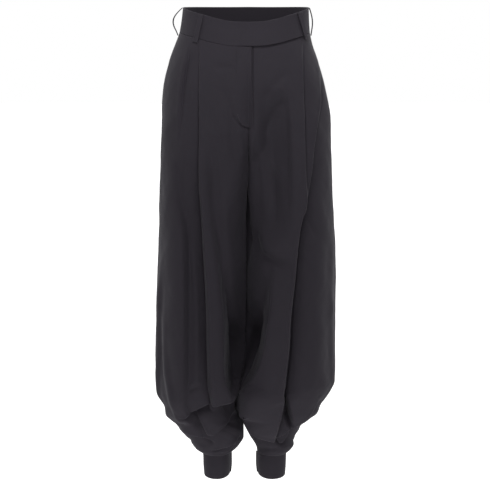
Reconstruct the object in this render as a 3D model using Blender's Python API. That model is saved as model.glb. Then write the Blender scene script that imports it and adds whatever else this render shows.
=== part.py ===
"""Barrel leg trousers, as they hang when worn, with no wearer in them.

Metres, +Z up, the front towards -Y and the wearer's left towards +X. The origin is the centre of the
waist, halfway up the waistband at the side. Lengths in the tables are millimetres.
"""

from collections import namedtuple
from math import pi

import bpy
import numpy as np

MM = 0.001

# Cloth and making-up, in millimetres.
CLOTH = 1.6
SEAM_GAP = 0.3
BAND_THICK = 2.4
FLY_THICK = 1.2
FLY_GAP = 0.9
LOOP_THICK = 1.8
LOOP_WIDTH = 12.0
CUFF_THICK = 2.2

# Where the main seams run, in millimetres. Heights are those at centre front.
BAND_TOP_Z = -12.0
BAND_SEAM_Z = -64.0
FLY_END_Z = -235.0
CROTCH_Z = -322.0
BACK_CURVE_Z = -150.0
LIFT_END_Z = -240.0
CUFF_SEAM_Z = -960.0
HEM_Z = -1008.0
HEM_TILT = 0.15
SIDE_Y = 4.0
INSEAM_Y = 14.0

Waist = namedtuple("Waist", "turn lift")
# How far the waist stands above its height at centre front, by the turn round it in degrees.
WAIST_LIFT = [
    Waist(0, 0.0),
    Waist(15, 1.5),
    Waist(30, 7.5),
    Waist(46, 16.5),
    Waist(60, 23.5),
    Waist(75, 30.0),
    Waist(90, 35.0),
    Waist(135, 39.0),
    Waist(180, 40.0),
]

Ring = namedtuple("Ring", "z outer inner front back apex outer_square inner_square")
# A leg at each height: how far it reaches to its side, to the centre, forwards and back. It is deepest at
# apex, a share of its width from the centre, and each side of that it is a quarter of a rounded square.
RIGHT_LEG = [
    Ring(30, -136, 4.85, -94, 101, 0.10, 2.10, 2.1),
    Ring(-20, -141, 4.85, -98, 105, 0.10, 2.10, 2.1),
    Ring(-50, -151, 4.85, -105, 113, 0.10, 2.10, 2.1),
    Ring(-92, -167, 4.85, -114, 125, 0.12, 2.15, 2.2),
    Ring(-150, -179, 4.85, -120, 135, 0.20, 2.20, 2.3),
    Ring(-235, -185, 4.80, -124, 138, 0.34, 2.25, 2.4),
    Ring(-322, -188, 4.40, -126, 135, 0.46, 2.30, 2.6),
    Ring(-380, -190, 2.90, -128, 131, 0.50, 2.30, 2.8),
    Ring(-480, -191, 2.40, -132, 128, 0.50, 2.30, 2.9),
    Ring(-610, -194, 2.40, -137, 130, 0.50, 2.30, 2.9),
    Ring(-720, -196, 0.90, -139, 133, 0.50, 2.25, 2.9),
    Ring(-790, -201, -7.0, -138, 134, 0.50, 2.20, 2.8),
    Ring(-815, -203, -14.0, -134, 131, 0.50, 2.20, 2.7),
    Ring(-850, -183, -16.6, -119, 120, 0.50, 2.20, 2.5),
    Ring(-880, -167, -10.0, -101, 106, 0.50, 2.20, 2.3),
    Ring(-905, -150, -11.0, -84, 92, 0.50, 2.20, 2.2),
    Ring(-925, -127, -20.0, -67, 77, 0.50, 2.15, 2.2),
    Ring(-940, -117, -29.0, -54, 66, 0.50, 2.10, 2.1),
    Ring(-952, -111, -32.0, -43, 57, 0.50, 2.10, 2.1),
    Ring(-962, -96, -34.0, -34, 49, 0.50, 2.10, 2.1),
    Ring(-985, -95, -34.0, -33, 47, 0.50, 2.10, 2.1),
    Ring(-1008, -93, -36.0, -31, 45, 0.50, 2.10, 2.1),
]
LEFT_LEG = [
    Ring(30, 136, 5.15, -94, 101, 0.10, 2.10, 2.1),
    Ring(-20, 137, 5.15, -98, 105, 0.10, 2.10, 2.1),
    Ring(-50, 142, 5.15, -105, 113, 0.10, 2.10, 2.1),
    Ring(-92, 157, 5.15, -114, 125, 0.12, 2.15, 2.2),
    Ring(-150, 172, 5.15, -120, 135, 0.20, 2.20, 2.3),
    Ring(-235, 185, 5.20, -124, 138, 0.34, 2.25, 2.4),
    Ring(-322, 188, 5.60, -126, 135, 0.46, 2.30, 2.6),
    Ring(-380, 190, 4.10, -128, 131, 0.50, 2.30, 2.8),
    Ring(-480, 194, 3.60, -132, 128, 0.50, 2.30, 2.9),
    Ring(-610, 194, 3.60, -137, 130, 0.50, 2.30, 2.9),
    Ring(-720, 195, 2.10, -139, 133, 0.50, 2.25, 2.9),
    Ring(-790, 200, -5.8, -137, 134, 0.50, 2.20, 2.8),
    Ring(-812, 196, -12.2, -134, 131, 0.50, 2.20, 2.7),
    Ring(-843, 173, -15.0, -122, 123, 0.50, 2.20, 2.5),
    Ring(-861, 160, -12.0, -112, 115, 0.50, 2.20, 2.4),
    Ring(-873, 150, -1.0, -104, 109, 0.50, 2.20, 2.3),
    Ring(-888, 137, 5.0, -93, 100, 0.50, 2.20, 2.2),
    Ring(-905, 119, 13.0, -78, 88, 0.50, 2.15, 2.2),
    Ring(-923, 108, 22.0, -62, 74, 0.50, 2.10, 2.1),
    Ring(-940, 106, 26.0, -51, 64, 0.50, 2.10, 2.1),
    Ring(-952, 99, 26.0, -42, 56, 0.50, 2.10, 2.1),
    Ring(-962, 90, 25.0, -34, 49, 0.50, 2.10, 2.1),
    Ring(-985, 89, 25.0, -33, 47, 0.50, 2.10, 2.1),
    Ring(-1008, 87, 27.0, -31, 45, 0.50, 2.10, 2.1),
]
LEGS = {"right": RIGHT_LEG, "left": LEFT_LEG}

Fold = namedtuple("Fold", "leg seen proud path rise dip near far edge")
# A fold with an edge, drawn as it is seen. On its proud side (the +X side of a path that runs down is 1) the
# cloth stands out by rise, on the other it drops by dip. near and far are how far each takes to die away.
FOLDS = [
    # The two pleats of the wearer's right front.
    Fold("right", "front", 1, [(-101, -40), (-98, -282), (-97, -483), (-85, -596), (-79, -747), (-75, -845)],
         10, 12, 55, 40, 11),
    Fold("right", "front", 1, [(-133, -60), (-140, -130), (-142, -215)], 3, 4, 22, 22, 10),
    # Where the wearer's right leg bags over its ankle: the hanging edge and the folded layer under it.
    Fold("right", "front", 1, [(-136, -770), (-133, -830), (-118, -856), (-72, -838), (-24, -834)],
         12, 10, 50, 34, 14),
    Fold("right", "front", 1, [(-108, -855), (-76, -899), (-26, -852)], 9, 7, 34, 26, 14),
    # The wearer's left front: the inner pleat, the outer one falling inwards down the whole leg, the lobe
    # that leans over the centre, and the lower edge where the leg bags.
    Fold("left", "front", -1, [(121, -50), (121, -198), (120, -330)], 4, 4, 30, 24, 11),
    Fold("left", "front", -1, [(150, -100), (160, -183), (148, -271), (126, -409), (115, -483), (103, -634),
                               (91, -755), (82, -835), (76, -890)], 10, 12, 60, 45, 11),
    Fold("left", "front", 1, [(56, -560), (47, -614), (31, -694), (14, -762), (-8, -820)], 6, 6, 40, 26, 14),
    Fold("left", "front", 1, [(20, -900), (38, -909), (63, -911), (88, -898), (120, -878)], 7, 7, 34, 20, 12),
    # Soft folds of the sides and the back, where the legs hang fuller.
    Fold("right", "back", -1, [(-96, -210), (-100, -420), (-92, -640), (-84, -820)], 6, 6, 60, 50, 40),
    Fold("left", "back", 1, [(98, -190), (104, -400), (94, -650), (86, -830)], 6, 6, 60, 50, 40),
    Fold("right", "back", 1, [(-150, -800), (-112, -862), (-60, -852), (-20, -822)], 8, 8, 44, 30, 18),
    Fold("left", "back", 1, [(10, -826), (58, -858), (110, -868), (150, -812)], 8, 8, 44, 30, 18),
    Fold("right", "right", 1, [(-62, -560), (-54, -700), (-48, -830)], 6, 6, 50, 40, 30),
    Fold("left", "left", 1, [(-58, -520), (-66, -700), (-60, -820)], 6, 6, 50, 40, 30),
]
SEEN = {"front": (0, 1, -1), "back": (0, 1, 1), "right": (1, 0, -1), "left": (1, 0, 1)}

Loop = namedtuple("Loop", "name top_turn foot_turn stand_off bulge")
# The belt loops: turn round the waist at each end (negative on the wearer's right), how far their ends stand
# off the band, and how far their middles bulge from it.
LOOPS = [
    Loop("loop_front_right", -50, -50, 0.4, 1.5),
    Loop("loop_front_left", 62, 69, 3.4, 1.2),
    Loop("loop_side_right", -92, -90, 0.4, 17.0),
    Loop("loop_side_left", 92, 90, 0.4, 6.0),
    Loop("loop_back", 180, 180, 0.4, 2.5),
]
LOOP_TOP_Z = -13.0
LOOP_FOOT_Z = -73.0

# The levels of the legs from the band to the cuff, closer together at the crotch and where the legs bag.
LEVELS = [
    BAND_SEAM_Z, -75, -90, -110, -135, -165, -195, -225, -250, -270, -287, -300, -310, -317, CROTCH_Z,
    -335, -360, -395, -435, -480, -525, -570, -615, -655, -690, -720, -745, -767, -785, -800,
    -814, -826, -838, -850, -862, -874, -886, -898, -910, -921, -931, -941, -951, CUFF_SEAM_Z,
]
# The places round half a leg: out to a line at SPLIT of its width from the centre, round the inner corner, and
# along the inner side to the seam.
RUNS = (80, 40, 20)
SPLIT = 0.3
ACROSS = sum(RUNS) + 1
# The places in a quarter of the waist.
QUARTER = 120


def flow(x, knots, values):
    """A smooth curve through the values that never swings past them."""
    x, knots, values = (np.asarray(a, float) for a in (x, knots, values))
    step = np.diff(knots)
    slope = np.diff(values) / step
    tangent = np.zeros(len(knots))
    same_way = slope[:-1] * slope[1:] > 0
    tangent[1:-1][same_way] = (2 * slope[:-1] * slope[1:] / (slope[:-1] + slope[1:] + 1e-12))[same_way]
    tangent[0], tangent[-1] = slope[0], slope[-1]
    x = np.clip(x, knots[0], knots[-1])
    i = np.clip(np.searchsorted(knots, x, side="right") - 1, 0, len(step) - 1)
    t = (x - knots[i]) / step[i]
    return (
        values[i] * (1 + 2 * t) * (1 - t) ** 2
        + tangent[i] * step[i] * t * (1 - t) ** 2
        + values[i + 1] * t**2 * (3 - 2 * t)
        - tangent[i + 1] * step[i] * t**2 * (1 - t)
    )


def column(table, name, at):
    """One column of a table of heights, read smoothly at the heights asked for."""
    rows = sorted(table, key=lambda row: row.z)
    return flow(at, [row.z for row in rows], [getattr(row, name) for row in rows])


def ease(x, low, high):
    """0 at low, 1 at high, smooth between."""
    t = np.clip((x - low) / (high - low), 0, 1)
    return t * t * (3 - 2 * t)


def lengths_along(curve):
    """How far along a curve each of its points lies."""
    return np.concatenate([[0], np.cumsum(np.linalg.norm(np.diff(curve, axis=0), axis=1))])


def runs_of(curve, marks):
    """Points along a curve: the places of each run evenly spaced between its marks, which are lengths along it."""
    along = lengths_along(curve)
    at = [np.linspace(*ends, places + 1)[:-1] for ends, places in zip(zip(marks[:-1], marks[1:]), RUNS)]
    at = np.concatenate(at + [[marks[-1]]])
    return np.stack([np.interp(at, along, curve[:, k]) for k in range(2)], axis=1)


def corner(square):
    """A quarter of a rounded square of side 1, 2 being a circle."""
    angle = np.linspace(0, pi / 2, 90)
    return np.cos(angle) ** (2 / square), np.sin(angle) ** (2 / square)


def seam_depth(z, side, depth):
    """How far forward or back the two legs still join at height z: the seam curves under to the crotch."""
    start = FLY_END_Z if side == "front" else BACK_CURVE_Z
    fall = np.clip((start - z) / (start - CROTCH_Z), 0, 1)
    return INSEAM_Y + (depth - INSEAM_Y) * np.sqrt(1 - fall**2)


def half_section(leg, z, side):
    """The front or back half of a leg's level section at height z, from the side seam to the inner seam."""
    rows = LEGS[leg]
    outer, inner, depth, share, outer_square, inner_square = (
        column(rows, name, z) for name in ("outer", "inner", side, "apex", "outer_square", "inner_square")
    )
    apex = inner + (outer - inner) * share
    seam = seam_depth(z, side, depth)
    span = max(abs(depth - seam), 0.01)
    round_depth = np.sign(depth) * (span**-4 + flow(z, [-480, CROTCH_Z], [140, 60]) ** -4) ** -0.25
    out, forward = corner(outer_square)
    outside = np.stack([apex + (outer - apex) * out, SIDE_Y + (depth - SIDE_Y) * forward], axis=1)
    # A shallow inner corner is a plain dip to the seam; a deep one turns fully.
    out, forward = corner(inner_square)
    fall = ease(span, 8, 50) * (1 - forward) + (1 - ease(span, 8, 50)) * out**3
    turned = np.stack([apex + (inner - apex) * out, depth - round_depth * fall], axis=1)[::-1]
    lying = np.stack([np.full(40, inner), np.linspace(depth - round_depth, seam, 40)], axis=1)
    inside = np.concatenate([turned, lying[1:]])
    # Where the two legs lie together they share one wavy line.
    way = np.clip((inside[:, 1] - INSEAM_Y) / 62, -1, 1)
    close = 1 - ease(np.abs(inside[:, 0] - inner), 8, 34)
    inside[:, 0] += 17 * way * (1 - way**2) ** 2 * close * ease(-z, 316, 332) * (1 - ease(-z, 846, 866))
    curve = np.concatenate([outside, inside[1:]])
    lengths = lengths_along(curve)
    facing = np.abs(curve[:, 1] - SIDE_Y) > 0.7 * np.abs(depth - SIDE_Y)
    sense = np.sign(outer)
    split_x = inner + (outer - inner) * SPLIT
    split = np.interp(split_x * sense, curve[facing, 0][::-1] * sense, lengths[facing][::-1])
    turned_at = min(lengths[len(outside) + len(turned) - 2], lengths[-1] - 4)
    return runs_of(curve, [0, split, turned_at, lengths[-1]])


def waist_lift(turn):
    """Height of the waist above its height at centre front. turn is in degrees from centre front."""
    return flow(np.abs(turn), [row.turn for row in WAIST_LIFT], [row.lift for row in WAIST_LIFT])


def level_row(leg, z):
    """The leg at the level that is at height z at centre front: from the inner seam round the back to the front."""
    back, front = half_section(leg, z, "back")[::-1], half_section(leg, z, "front")
    round_back, round_front = lengths_along(back), lengths_along(front)
    turn = np.concatenate([180 - 90 * round_back / round_back[-1], (90 - 90 * round_front / round_front[-1])[1:]])
    lift = waist_lift(turn) * (1 - ease(-z, -BAND_SEAM_Z, -LIFT_END_Z))
    high = [half_section(leg, z + lift.max(), side) for side in ("back", "front")]
    high = np.concatenate([high[0][::-1], high[1][1:]])
    share = (lift / max(lift.max(), 1e-6))[:, None]
    flat = np.concatenate([back, front[1:]]) * (1 - share) + high * share
    return np.concatenate([flat, (z + lift)[:, None]], axis=1)


def waist_ring(z):
    """The closed ring round the waist at height z at centre front: centre back, right side, front, left side."""
    quarters = []
    for leg in ("right", "left"):
        row = level_row(leg, z)
        for part in (row[:ACROSS], row[ACROSS - 1:]):
            along = lengths_along(part)
            at = np.linspace(0, along[-1], QUARTER + 1)
            quarters.append(np.stack([np.interp(at, along, part[:, axis]) for axis in range(3)], axis=1))
    right_back, right_front, left_back, left_front = quarters
    ring = np.concatenate([right_back[:-1], right_front[:-1], left_front[::-1][:-1], left_back[::-1]])
    ring[-1] = ring[0]
    return ring


def outward(sheet):
    """Unit normals of a sheet of levels from the top down, pointing away from its middle."""
    normal = np.cross(np.gradient(sheet, axis=1), np.gradient(sheet, axis=0))
    normal /= np.linalg.norm(normal, axis=2, keepdims=True) + 1e-9
    middle = sheet.mean(axis=1, keepdims=True)
    sense = np.sign(((sheet - middle)[..., :2] * normal[..., :2]).sum())
    return normal * sense


def beside(flat, path):
    """Signed distance of each flat point from a smoothed path, and how far along it the nearest point lies."""
    path = np.asarray(path, float)
    knots = lengths_along(path)
    path = np.stack([flow(np.linspace(0, knots[-1], 25), knots, path[:, k]) for k in range(2)], axis=1)
    best = np.full(flat.shape[:-1], 1e9)
    signed, along = np.zeros_like(best), np.zeros_like(best)
    done = 0.0
    for start, end in zip(path[:-1], path[1:]):
        length = np.linalg.norm(end - start)
        way = (end - start) / length
        rel = flat - start
        t = np.clip(rel @ way, 0, length)
        far = np.linalg.norm(rel - t[..., None] * way, axis=-1)
        side = np.sign(way[0] * rel[..., 1] - way[1] * rel[..., 0])
        nearer = far < best
        best = np.where(nearer, far, best)
        signed = np.where(nearer, side * far, signed)
        along = np.where(nearer, done + t, along)
        done += length
    return signed, along, done


def folded(sheet, leg):
    """The sheet with each of its folds put in. They die away at the seams that join the two legs and the band."""
    normal = outward(sheet)
    steps = np.linalg.norm(np.diff(sheet, axis=1), axis=2)
    reach = np.concatenate([np.zeros((len(sheet), 1)), np.cumsum(steps, axis=1)], axis=1)
    from_ends = np.minimum(reach, reach[:, -1:] - reach)
    below_band = sheet[:1, :, 2] - sheet[..., 2]
    above_cuff = sheet[..., 2] - sheet[-1:, :, 2]
    free = ease(from_ends, 4, 40) * ease(below_band, 9, 55) * ease(above_cuff, 0, 30)
    moved = np.zeros(sheet.shape[:2])
    for fold in FOLDS:
        if fold.leg != leg:
            continue
        flat_axis, facing_axis, facing_sign = SEEN[fold.seen]
        facing = ease(normal[..., facing_axis] * facing_sign, 0.2, 0.75)
        signed, along, length = beside(sheet[..., [flat_axis, 2]], fold.path)
        signed = signed * fold.proud
        ends = ease(along, 0, 60) * (1 - ease(along, length - 30, length))
        proud = 0.5 * (1 + np.tanh(signed / fold.edge * 2))
        near = np.exp(-((np.clip(signed, 0, None) / fold.near) ** 1.4))
        far = np.exp(-((np.clip(-signed, 0, None) / fold.far) ** 1.4))
        moved += (fold.rise * near * proud - fold.dip * far * (1 - proud)) * ends * facing
    return sheet + normal * (moved * free)[..., None]


def wall(name, outer, inner, material):
    """A closed wall between two sheets of points, both levels by places across, as one object."""
    rows, cols = outer.shape[:2]
    points = np.concatenate([outer.reshape(-1, 3), inner.reshape(-1, 3)]) * MM
    index = np.arange(rows * cols).reshape(rows, cols)
    faces = []
    for sheet, turned in ((index, False), (index + rows * cols, True)):
        quads = np.stack([sheet[:-1, :-1], sheet[:-1, 1:], sheet[1:, 1:], sheet[1:, :-1]], axis=-1)
        faces += [tuple(int(v) for v in (q[::-1] if turned else q)) for q in quads.reshape(-1, 4)]
    rim = np.concatenate([index[0, :], index[1:, -1], index[-1, -2::-1], index[-2:0:-1, 0]])
    under = rim + rows * cols
    for a, b, c, d in zip(rim, np.roll(rim, -1), np.roll(under, -1), under):
        faces.append((int(b), int(a), int(d), int(c)))
    mesh = bpy.data.meshes.new(name)
    mesh.from_pydata(points.tolist(), [], faces)
    mesh.update()
    made = bpy.data.objects.new(name, mesh)
    volume = sum(
        np.dot(points[f[0]], np.cross(points[f[k]], points[f[k + 1]])) for f in faces for k in range(1, len(f) - 1)
    )
    if volume < 0:
        mesh.flip_normals()
    mesh.shade_smooth()
    mesh.materials.append(material)
    TROUSERS.objects.link(made)
    return made


def drawn_in(sheet, edges, amount):
    """The sheet with the named edges moved in along the cloth by an amount."""
    out = sheet.copy()
    for edge, step in edges:
        towards = sheet[:, edge + step] - sheet[:, edge]
        out[:, edge] += towards / np.linalg.norm(towards, axis=1, keepdims=True) * amount
    return out


def at_places(rows, places):
    """Each level of a sheet read at its own places, which need not be whole numbers."""
    below = np.clip(np.floor(places).astype(int), 0, rows.shape[1] - 2)
    part = (places - below)[..., None]
    level = np.arange(len(rows))[:, None]
    return rows[level, below] * (1 - part) + rows[level, below + 1] * part


def strip(name, rings, start, stop, ramp, layer, thick, columns, material):
    """A band of cloth round closed rings whose end lies over its start, one layer further out."""
    period = rings.shape[1] - 1
    normal = outward(rings)
    places = np.linspace(start, stop, columns)
    over = layer * ease(places, start + period - ramp, start + period - 2)
    wrapped = np.repeat((places % period)[None], len(rings), axis=0)
    outer = at_places(rings, wrapped) + at_places(normal, wrapped) * over[None, :, None]
    return wall(name, outer, outer - at_places(normal, wrapped) * thick, material)


def cloth_material(name, colour, roughness):
    made = bpy.data.materials.new(name)
    made.use_nodes = True
    shader = made.node_tree.nodes["Principled BSDF"]
    shader.inputs["Base Color"].default_value = (*colour, 1)
    shader.inputs["Roughness"].default_value = roughness
    shader.inputs["Metallic"].default_value = 0
    return made


for old in list(bpy.data.objects):
    bpy.data.objects.remove(old)
TROUSERS = bpy.data.collections.new("barrel_leg_trousers")
bpy.context.scene.collection.children.link(TROUSERS)
WOOL = cloth_material("dark_wool", (0.031, 0.028, 0.034), 0.8)

# The four panels of the legs. The columns of each front follow its main pleat.
MAIN_PLEAT = {"right": FOLDS[0].path, "left": FOLDS[5].path}
FORMED = {}
for leg in ("right", "left"):
    plain = np.stack([level_row(leg, z) for z in LEVELS])
    formed = FORMED[leg] = folded(plain, leg)
    normal = outward(formed)
    path = np.array(MAIN_PLEAT[leg], float)
    pleat = np.zeros((len(LEVELS), 1))
    for i, z in enumerate(LEVELS):
        row = plain[i, ACROSS - 1:2 * ACROSS - 2 - RUNS[2]] * [np.sign(path[0, 0]), 1, 1]
        aim = np.interp(-z, -path[:, 1], path[:, 0]) * np.sign(path[0, 0])
        facing = row[:, 1] < 0.5 * row[:, 1].min()
        pleat[i] = np.interp(aim, row[facing, 0][::-1], np.flatnonzero(facing)[::-1])
    pleat = np.clip(pleat, 20, ACROSS - RUNS[2] - 20) + ACROSS - 1
    front_places = np.concatenate([
        ACROSS - 1 + (pleat - 6 - (ACROSS - 1)) * np.linspace(0, 1, 7)[None],
        pleat + np.array([[-2, 2]]),
        pleat + 6 + (2 * ACROSS - 2 - RUNS[2] - pleat - 6) * np.linspace(0, 1, 9)[None],
        np.repeat(2 * ACROSS - 2 - np.array([[13, 6.5, 0]]), len(LEVELS), axis=0),
    ], axis=1)
    back_line = np.concatenate([[0, 6.5, 13], np.linspace(RUNS[2], ACROSS - 1, 10)])
    back_places = np.repeat(back_line[None], len(LEVELS), axis=0)
    for side, places in (("back", back_places), ("front", front_places)):
        outer = at_places(formed, places)
        inner = outer - at_places(normal, places) * CLOTH
        edges = ((0, 1), (-1, -1))
        wall(f"{side}_{leg}", drawn_in(outer, edges, SEAM_GAP / 2), drawn_in(inner, edges, SEAM_GAP / 2), WOOL)

# The waistband: one strip round the waist whose end crosses the centre front and lies over its start.
BAND_HEIGHTS = np.linspace(BAND_TOP_Z, BAND_SEAM_Z + SEAM_GAP, 3)
WAIST_HEIGHTS = np.concatenate([BAND_HEIGHTS, [-72, -80, -90]])
WAIST = np.stack([waist_ring(z) for z in WAIST_HEIGHTS])
CENTRE_FRONT = 2 * QUARTER
PER_DEGREE = QUARTER / 90
strip("waistband", WAIST[:3], CENTRE_FRONT + 2, 3 * CENTRE_FRONT + 62 * PER_DEGREE, 14,
      BAND_THICK + SEAM_GAP, BAND_THICK, 96, WOOL)

# The fly: a J-shaped layer on the wearer's right front, its edge just past the centre.
fly_rows = np.array([-64.6, -90, -120, -150, -180, -205, -216, -225, -231, -234])
fly_left = np.array([-20, -20, -20, -20, -20, -20, -17.8, -13, -7, -1])
centre = np.concatenate([FORMED["right"][:, ACROSS:], FORMED["left"][:, :ACROSS:-1]], axis=1)
fly = np.zeros((len(fly_rows), 5, 3))
for i, (z, left) in enumerate(zip(fly_rows, fly_left)):
    across = np.linspace(left, 11.5, 5)
    depths = np.stack([np.interp(across, row[:, 0], row[:, 1]) for row in centre])
    fly[i, :, 0] = across
    fly[i, :, 1] = [np.interp(-z, -np.array(LEVELS), depths[:, k]) for k in range(5)]
    fly[i, :, 2] = z
ahead = np.array([0.0, -1.0, 0.0])
wall("fly", fly + ahead * (FLY_GAP + FLY_THICK), fly + ahead * FLY_GAP, WOOL)

# The belt loops: short strips from the top of the band to just below its seam.
waist_normal = outward(WAIST)
for loop in LOOPS:
    along = np.linspace(0, 1, 9)
    outer, inner = np.zeros((9, 3, 3)), np.zeros((9, 3, 3))
    for i, t in enumerate(along):
        turn = loop.top_turn + (loop.foot_turn - loop.top_turn) * t
        middle = CENTRE_FRONT + turn * PER_DEGREE
        for k, offset in enumerate((-LOOP_WIDTH / 2, 0, LOOP_WIDTH / 2)):
            ring = np.concatenate([WAIST, WAIST[:, 1:]], axis=1)
            normals = np.concatenate([waist_normal, waist_normal[:, 1:]], axis=1)
            spacing = np.linalg.norm(ring[0, int(middle) + 1] - ring[0, int(middle)])
            places = np.full((len(ring), 1), middle + offset / spacing)
            line, out = at_places(ring, places)[:, 0], at_places(normals, places)[:, 0]
            z = LOOP_TOP_Z + (LOOP_FOOT_Z - LOOP_TOP_Z) * t
            point = np.array([np.interp(-z, -WAIST_HEIGHTS, line[:, axis]) for axis in range(3)])
            away = np.array([np.interp(-z, -WAIST_HEIGHTS, out[:, axis]) for axis in range(3)])
            stand = loop.stand_off + loop.bulge * np.sin(pi * t)
            inner[i, k] = point + away * stand
            outer[i, k] = point + away * (stand + LOOP_THICK)
    wall(loop.name, outer, inner, WOOL)

# The cuffs: strips that close round the ankle, their ends lapped on the inner side.
for leg in ("right", "left"):
    rings = np.stack([level_row(leg, z) for z in np.linspace(CUFF_SEAM_Z - SEAM_GAP, HEM_Z, 3)])
    drop = np.linspace(0, 1, 3)[:, None]
    rings[..., 2] += drop * HEM_TILT * (rings[..., 1] - 7)
    rings[:, -1] = rings[:, 0]
    strip(f"cuff_{leg}", rings, 2, 2 * ACROSS - 2 + 20, 14, CUFF_THICK + SEAM_GAP, CUFF_THICK, 36, WOOL)
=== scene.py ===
"""Barrel leg trousers in dark wool twill, in the full shape that they take when worn.

Lengths are millimetres and turns round the waist are degrees from centre front; MM makes metres of them at
the last step. The studio at the end is in metres. +Z is up, the front faces -Y and the trousers' left is +X.
The origin is the centre of the waist.
"""

from collections import namedtuple
from math import cos, pi, radians, sin

import bpy
import numpy as np
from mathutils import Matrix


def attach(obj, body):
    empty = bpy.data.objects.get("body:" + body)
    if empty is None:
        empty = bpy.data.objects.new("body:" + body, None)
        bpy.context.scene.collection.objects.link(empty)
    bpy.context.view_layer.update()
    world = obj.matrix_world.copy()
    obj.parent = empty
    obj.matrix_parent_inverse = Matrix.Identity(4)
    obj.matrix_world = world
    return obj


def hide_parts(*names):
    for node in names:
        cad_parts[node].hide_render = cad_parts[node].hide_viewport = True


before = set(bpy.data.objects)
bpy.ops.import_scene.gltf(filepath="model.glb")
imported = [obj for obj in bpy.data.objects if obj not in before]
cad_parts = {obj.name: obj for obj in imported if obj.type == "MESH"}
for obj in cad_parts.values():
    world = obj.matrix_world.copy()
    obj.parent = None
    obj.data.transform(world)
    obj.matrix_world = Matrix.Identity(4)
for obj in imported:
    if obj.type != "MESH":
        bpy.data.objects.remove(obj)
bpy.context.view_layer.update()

# ------------------------------------------------------------------------------------------------------------
# The two legs as they hang, before a fold is set in them.
# Each is a front and a back panel of dark wool twill, full at the knee and narrow at the ankle. The panels
# meet at the side seam, the inner seam, and at the centre seams that curve under to the crotch.
# ------------------------------------------------------------------------------------------------------------
BAND_SEAM_Z = -64.0
FLY_END_Z = -235.0
CROTCH_Z = -322.0
BACK_CURVE_Z = -150.0
# From here down to the fly's end the centre front dips in between the thighs.
DIP_START_Z = -90.0
CENTRE_DIP = 18.0
# Levels follow the waist's lift at the band, and are level from here down.
LIFT_END_Z = -240.0
SIDE_Y = 4.0
INSEAM_Y = 14.0

Waist = namedtuple("Waist", "turn lift")
# How far the waist stands above its height at centre front.
WAIST_LIFT = [
    Waist(0, 0.0), Waist(15, 1.5), Waist(30, 7.5), Waist(46, 16.5), Waist(60, 23.5),
    Waist(75, 30.0), Waist(90, 35.0), Waist(135, 39.0), Waist(180, 40.0),
]

Ring = namedtuple("Ring", "z outer inner front back apex outer_square inner_square")
# A leg at each height: its reach to the side, to the centre, forwards and back. It is deepest at apex, a
# share of its width from the centre, and each side of that it is a quarter of a rounded square.
RIGHT_LEG = [
    Ring(30, -136, 5.03, -94, 101, 0.10, 2.10, 2.1),
    Ring(-20, -141, 5.03, -98, 105, 0.10, 2.10, 2.1),
    Ring(-50, -151, 5.03, -105, 113, 0.10, 2.10, 2.1),
    Ring(-92, -167, 5.03, -114, 125, 0.12, 2.15, 2.2),
    Ring(-150, -179, 5.03, -120, 135, 0.20, 2.20, 2.3),
    Ring(-235, -185, 5.03, -121, 138, 0.34, 2.25, 2.2),
    Ring(-322, -188, 5.02, -121, 135, 0.46, 2.30, 2.2),
    Ring(-380, -190, 3.20, -122, 131, 0.50, 2.30, 2.2),
    Ring(-480, -191, 2.75, -125, 128, 0.50, 2.30, 2.2),
    Ring(-610, -194, 2.75, -131, 130, 0.50, 2.30, 2.25),
    Ring(-720, -196, 1.25, -135, 133, 0.50, 2.25, 2.3),
    Ring(-790, -198, -7.0, -138, 134, 0.50, 2.20, 2.3),
    Ring(-815, -197, -17.0, -134, 131, 0.50, 2.20, 2.7),
    Ring(-850, -181, -22.0, -119, 120, 0.50, 2.20, 2.5),
    Ring(-865, -177, -20.0, -110, 113, 0.50, 2.20, 2.4),
    Ring(-880, -168, -12.0, -101, 106, 0.50, 2.20, 2.3),
    Ring(-905, -147, -5.0, -84, 92, 0.50, 2.20, 2.2),
    Ring(-925, -129, -5.0, -67, 77, 0.50, 2.15, 2.2),
    Ring(-940, -119, -13.0, -54, 66, 0.50, 2.10, 2.1),
    Ring(-952, -110, -23.0, -43, 57, 0.50, 2.10, 2.1),
    Ring(-962, -96, -34.0, -34, 49, 0.50, 2.10, 2.1),
    Ring(-985, -95, -34.0, -33, 47, 0.50, 2.10, 2.1),
    Ring(-1008, -93, -36.0, -31, 45, 0.50, 2.10, 2.1),
]
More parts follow.
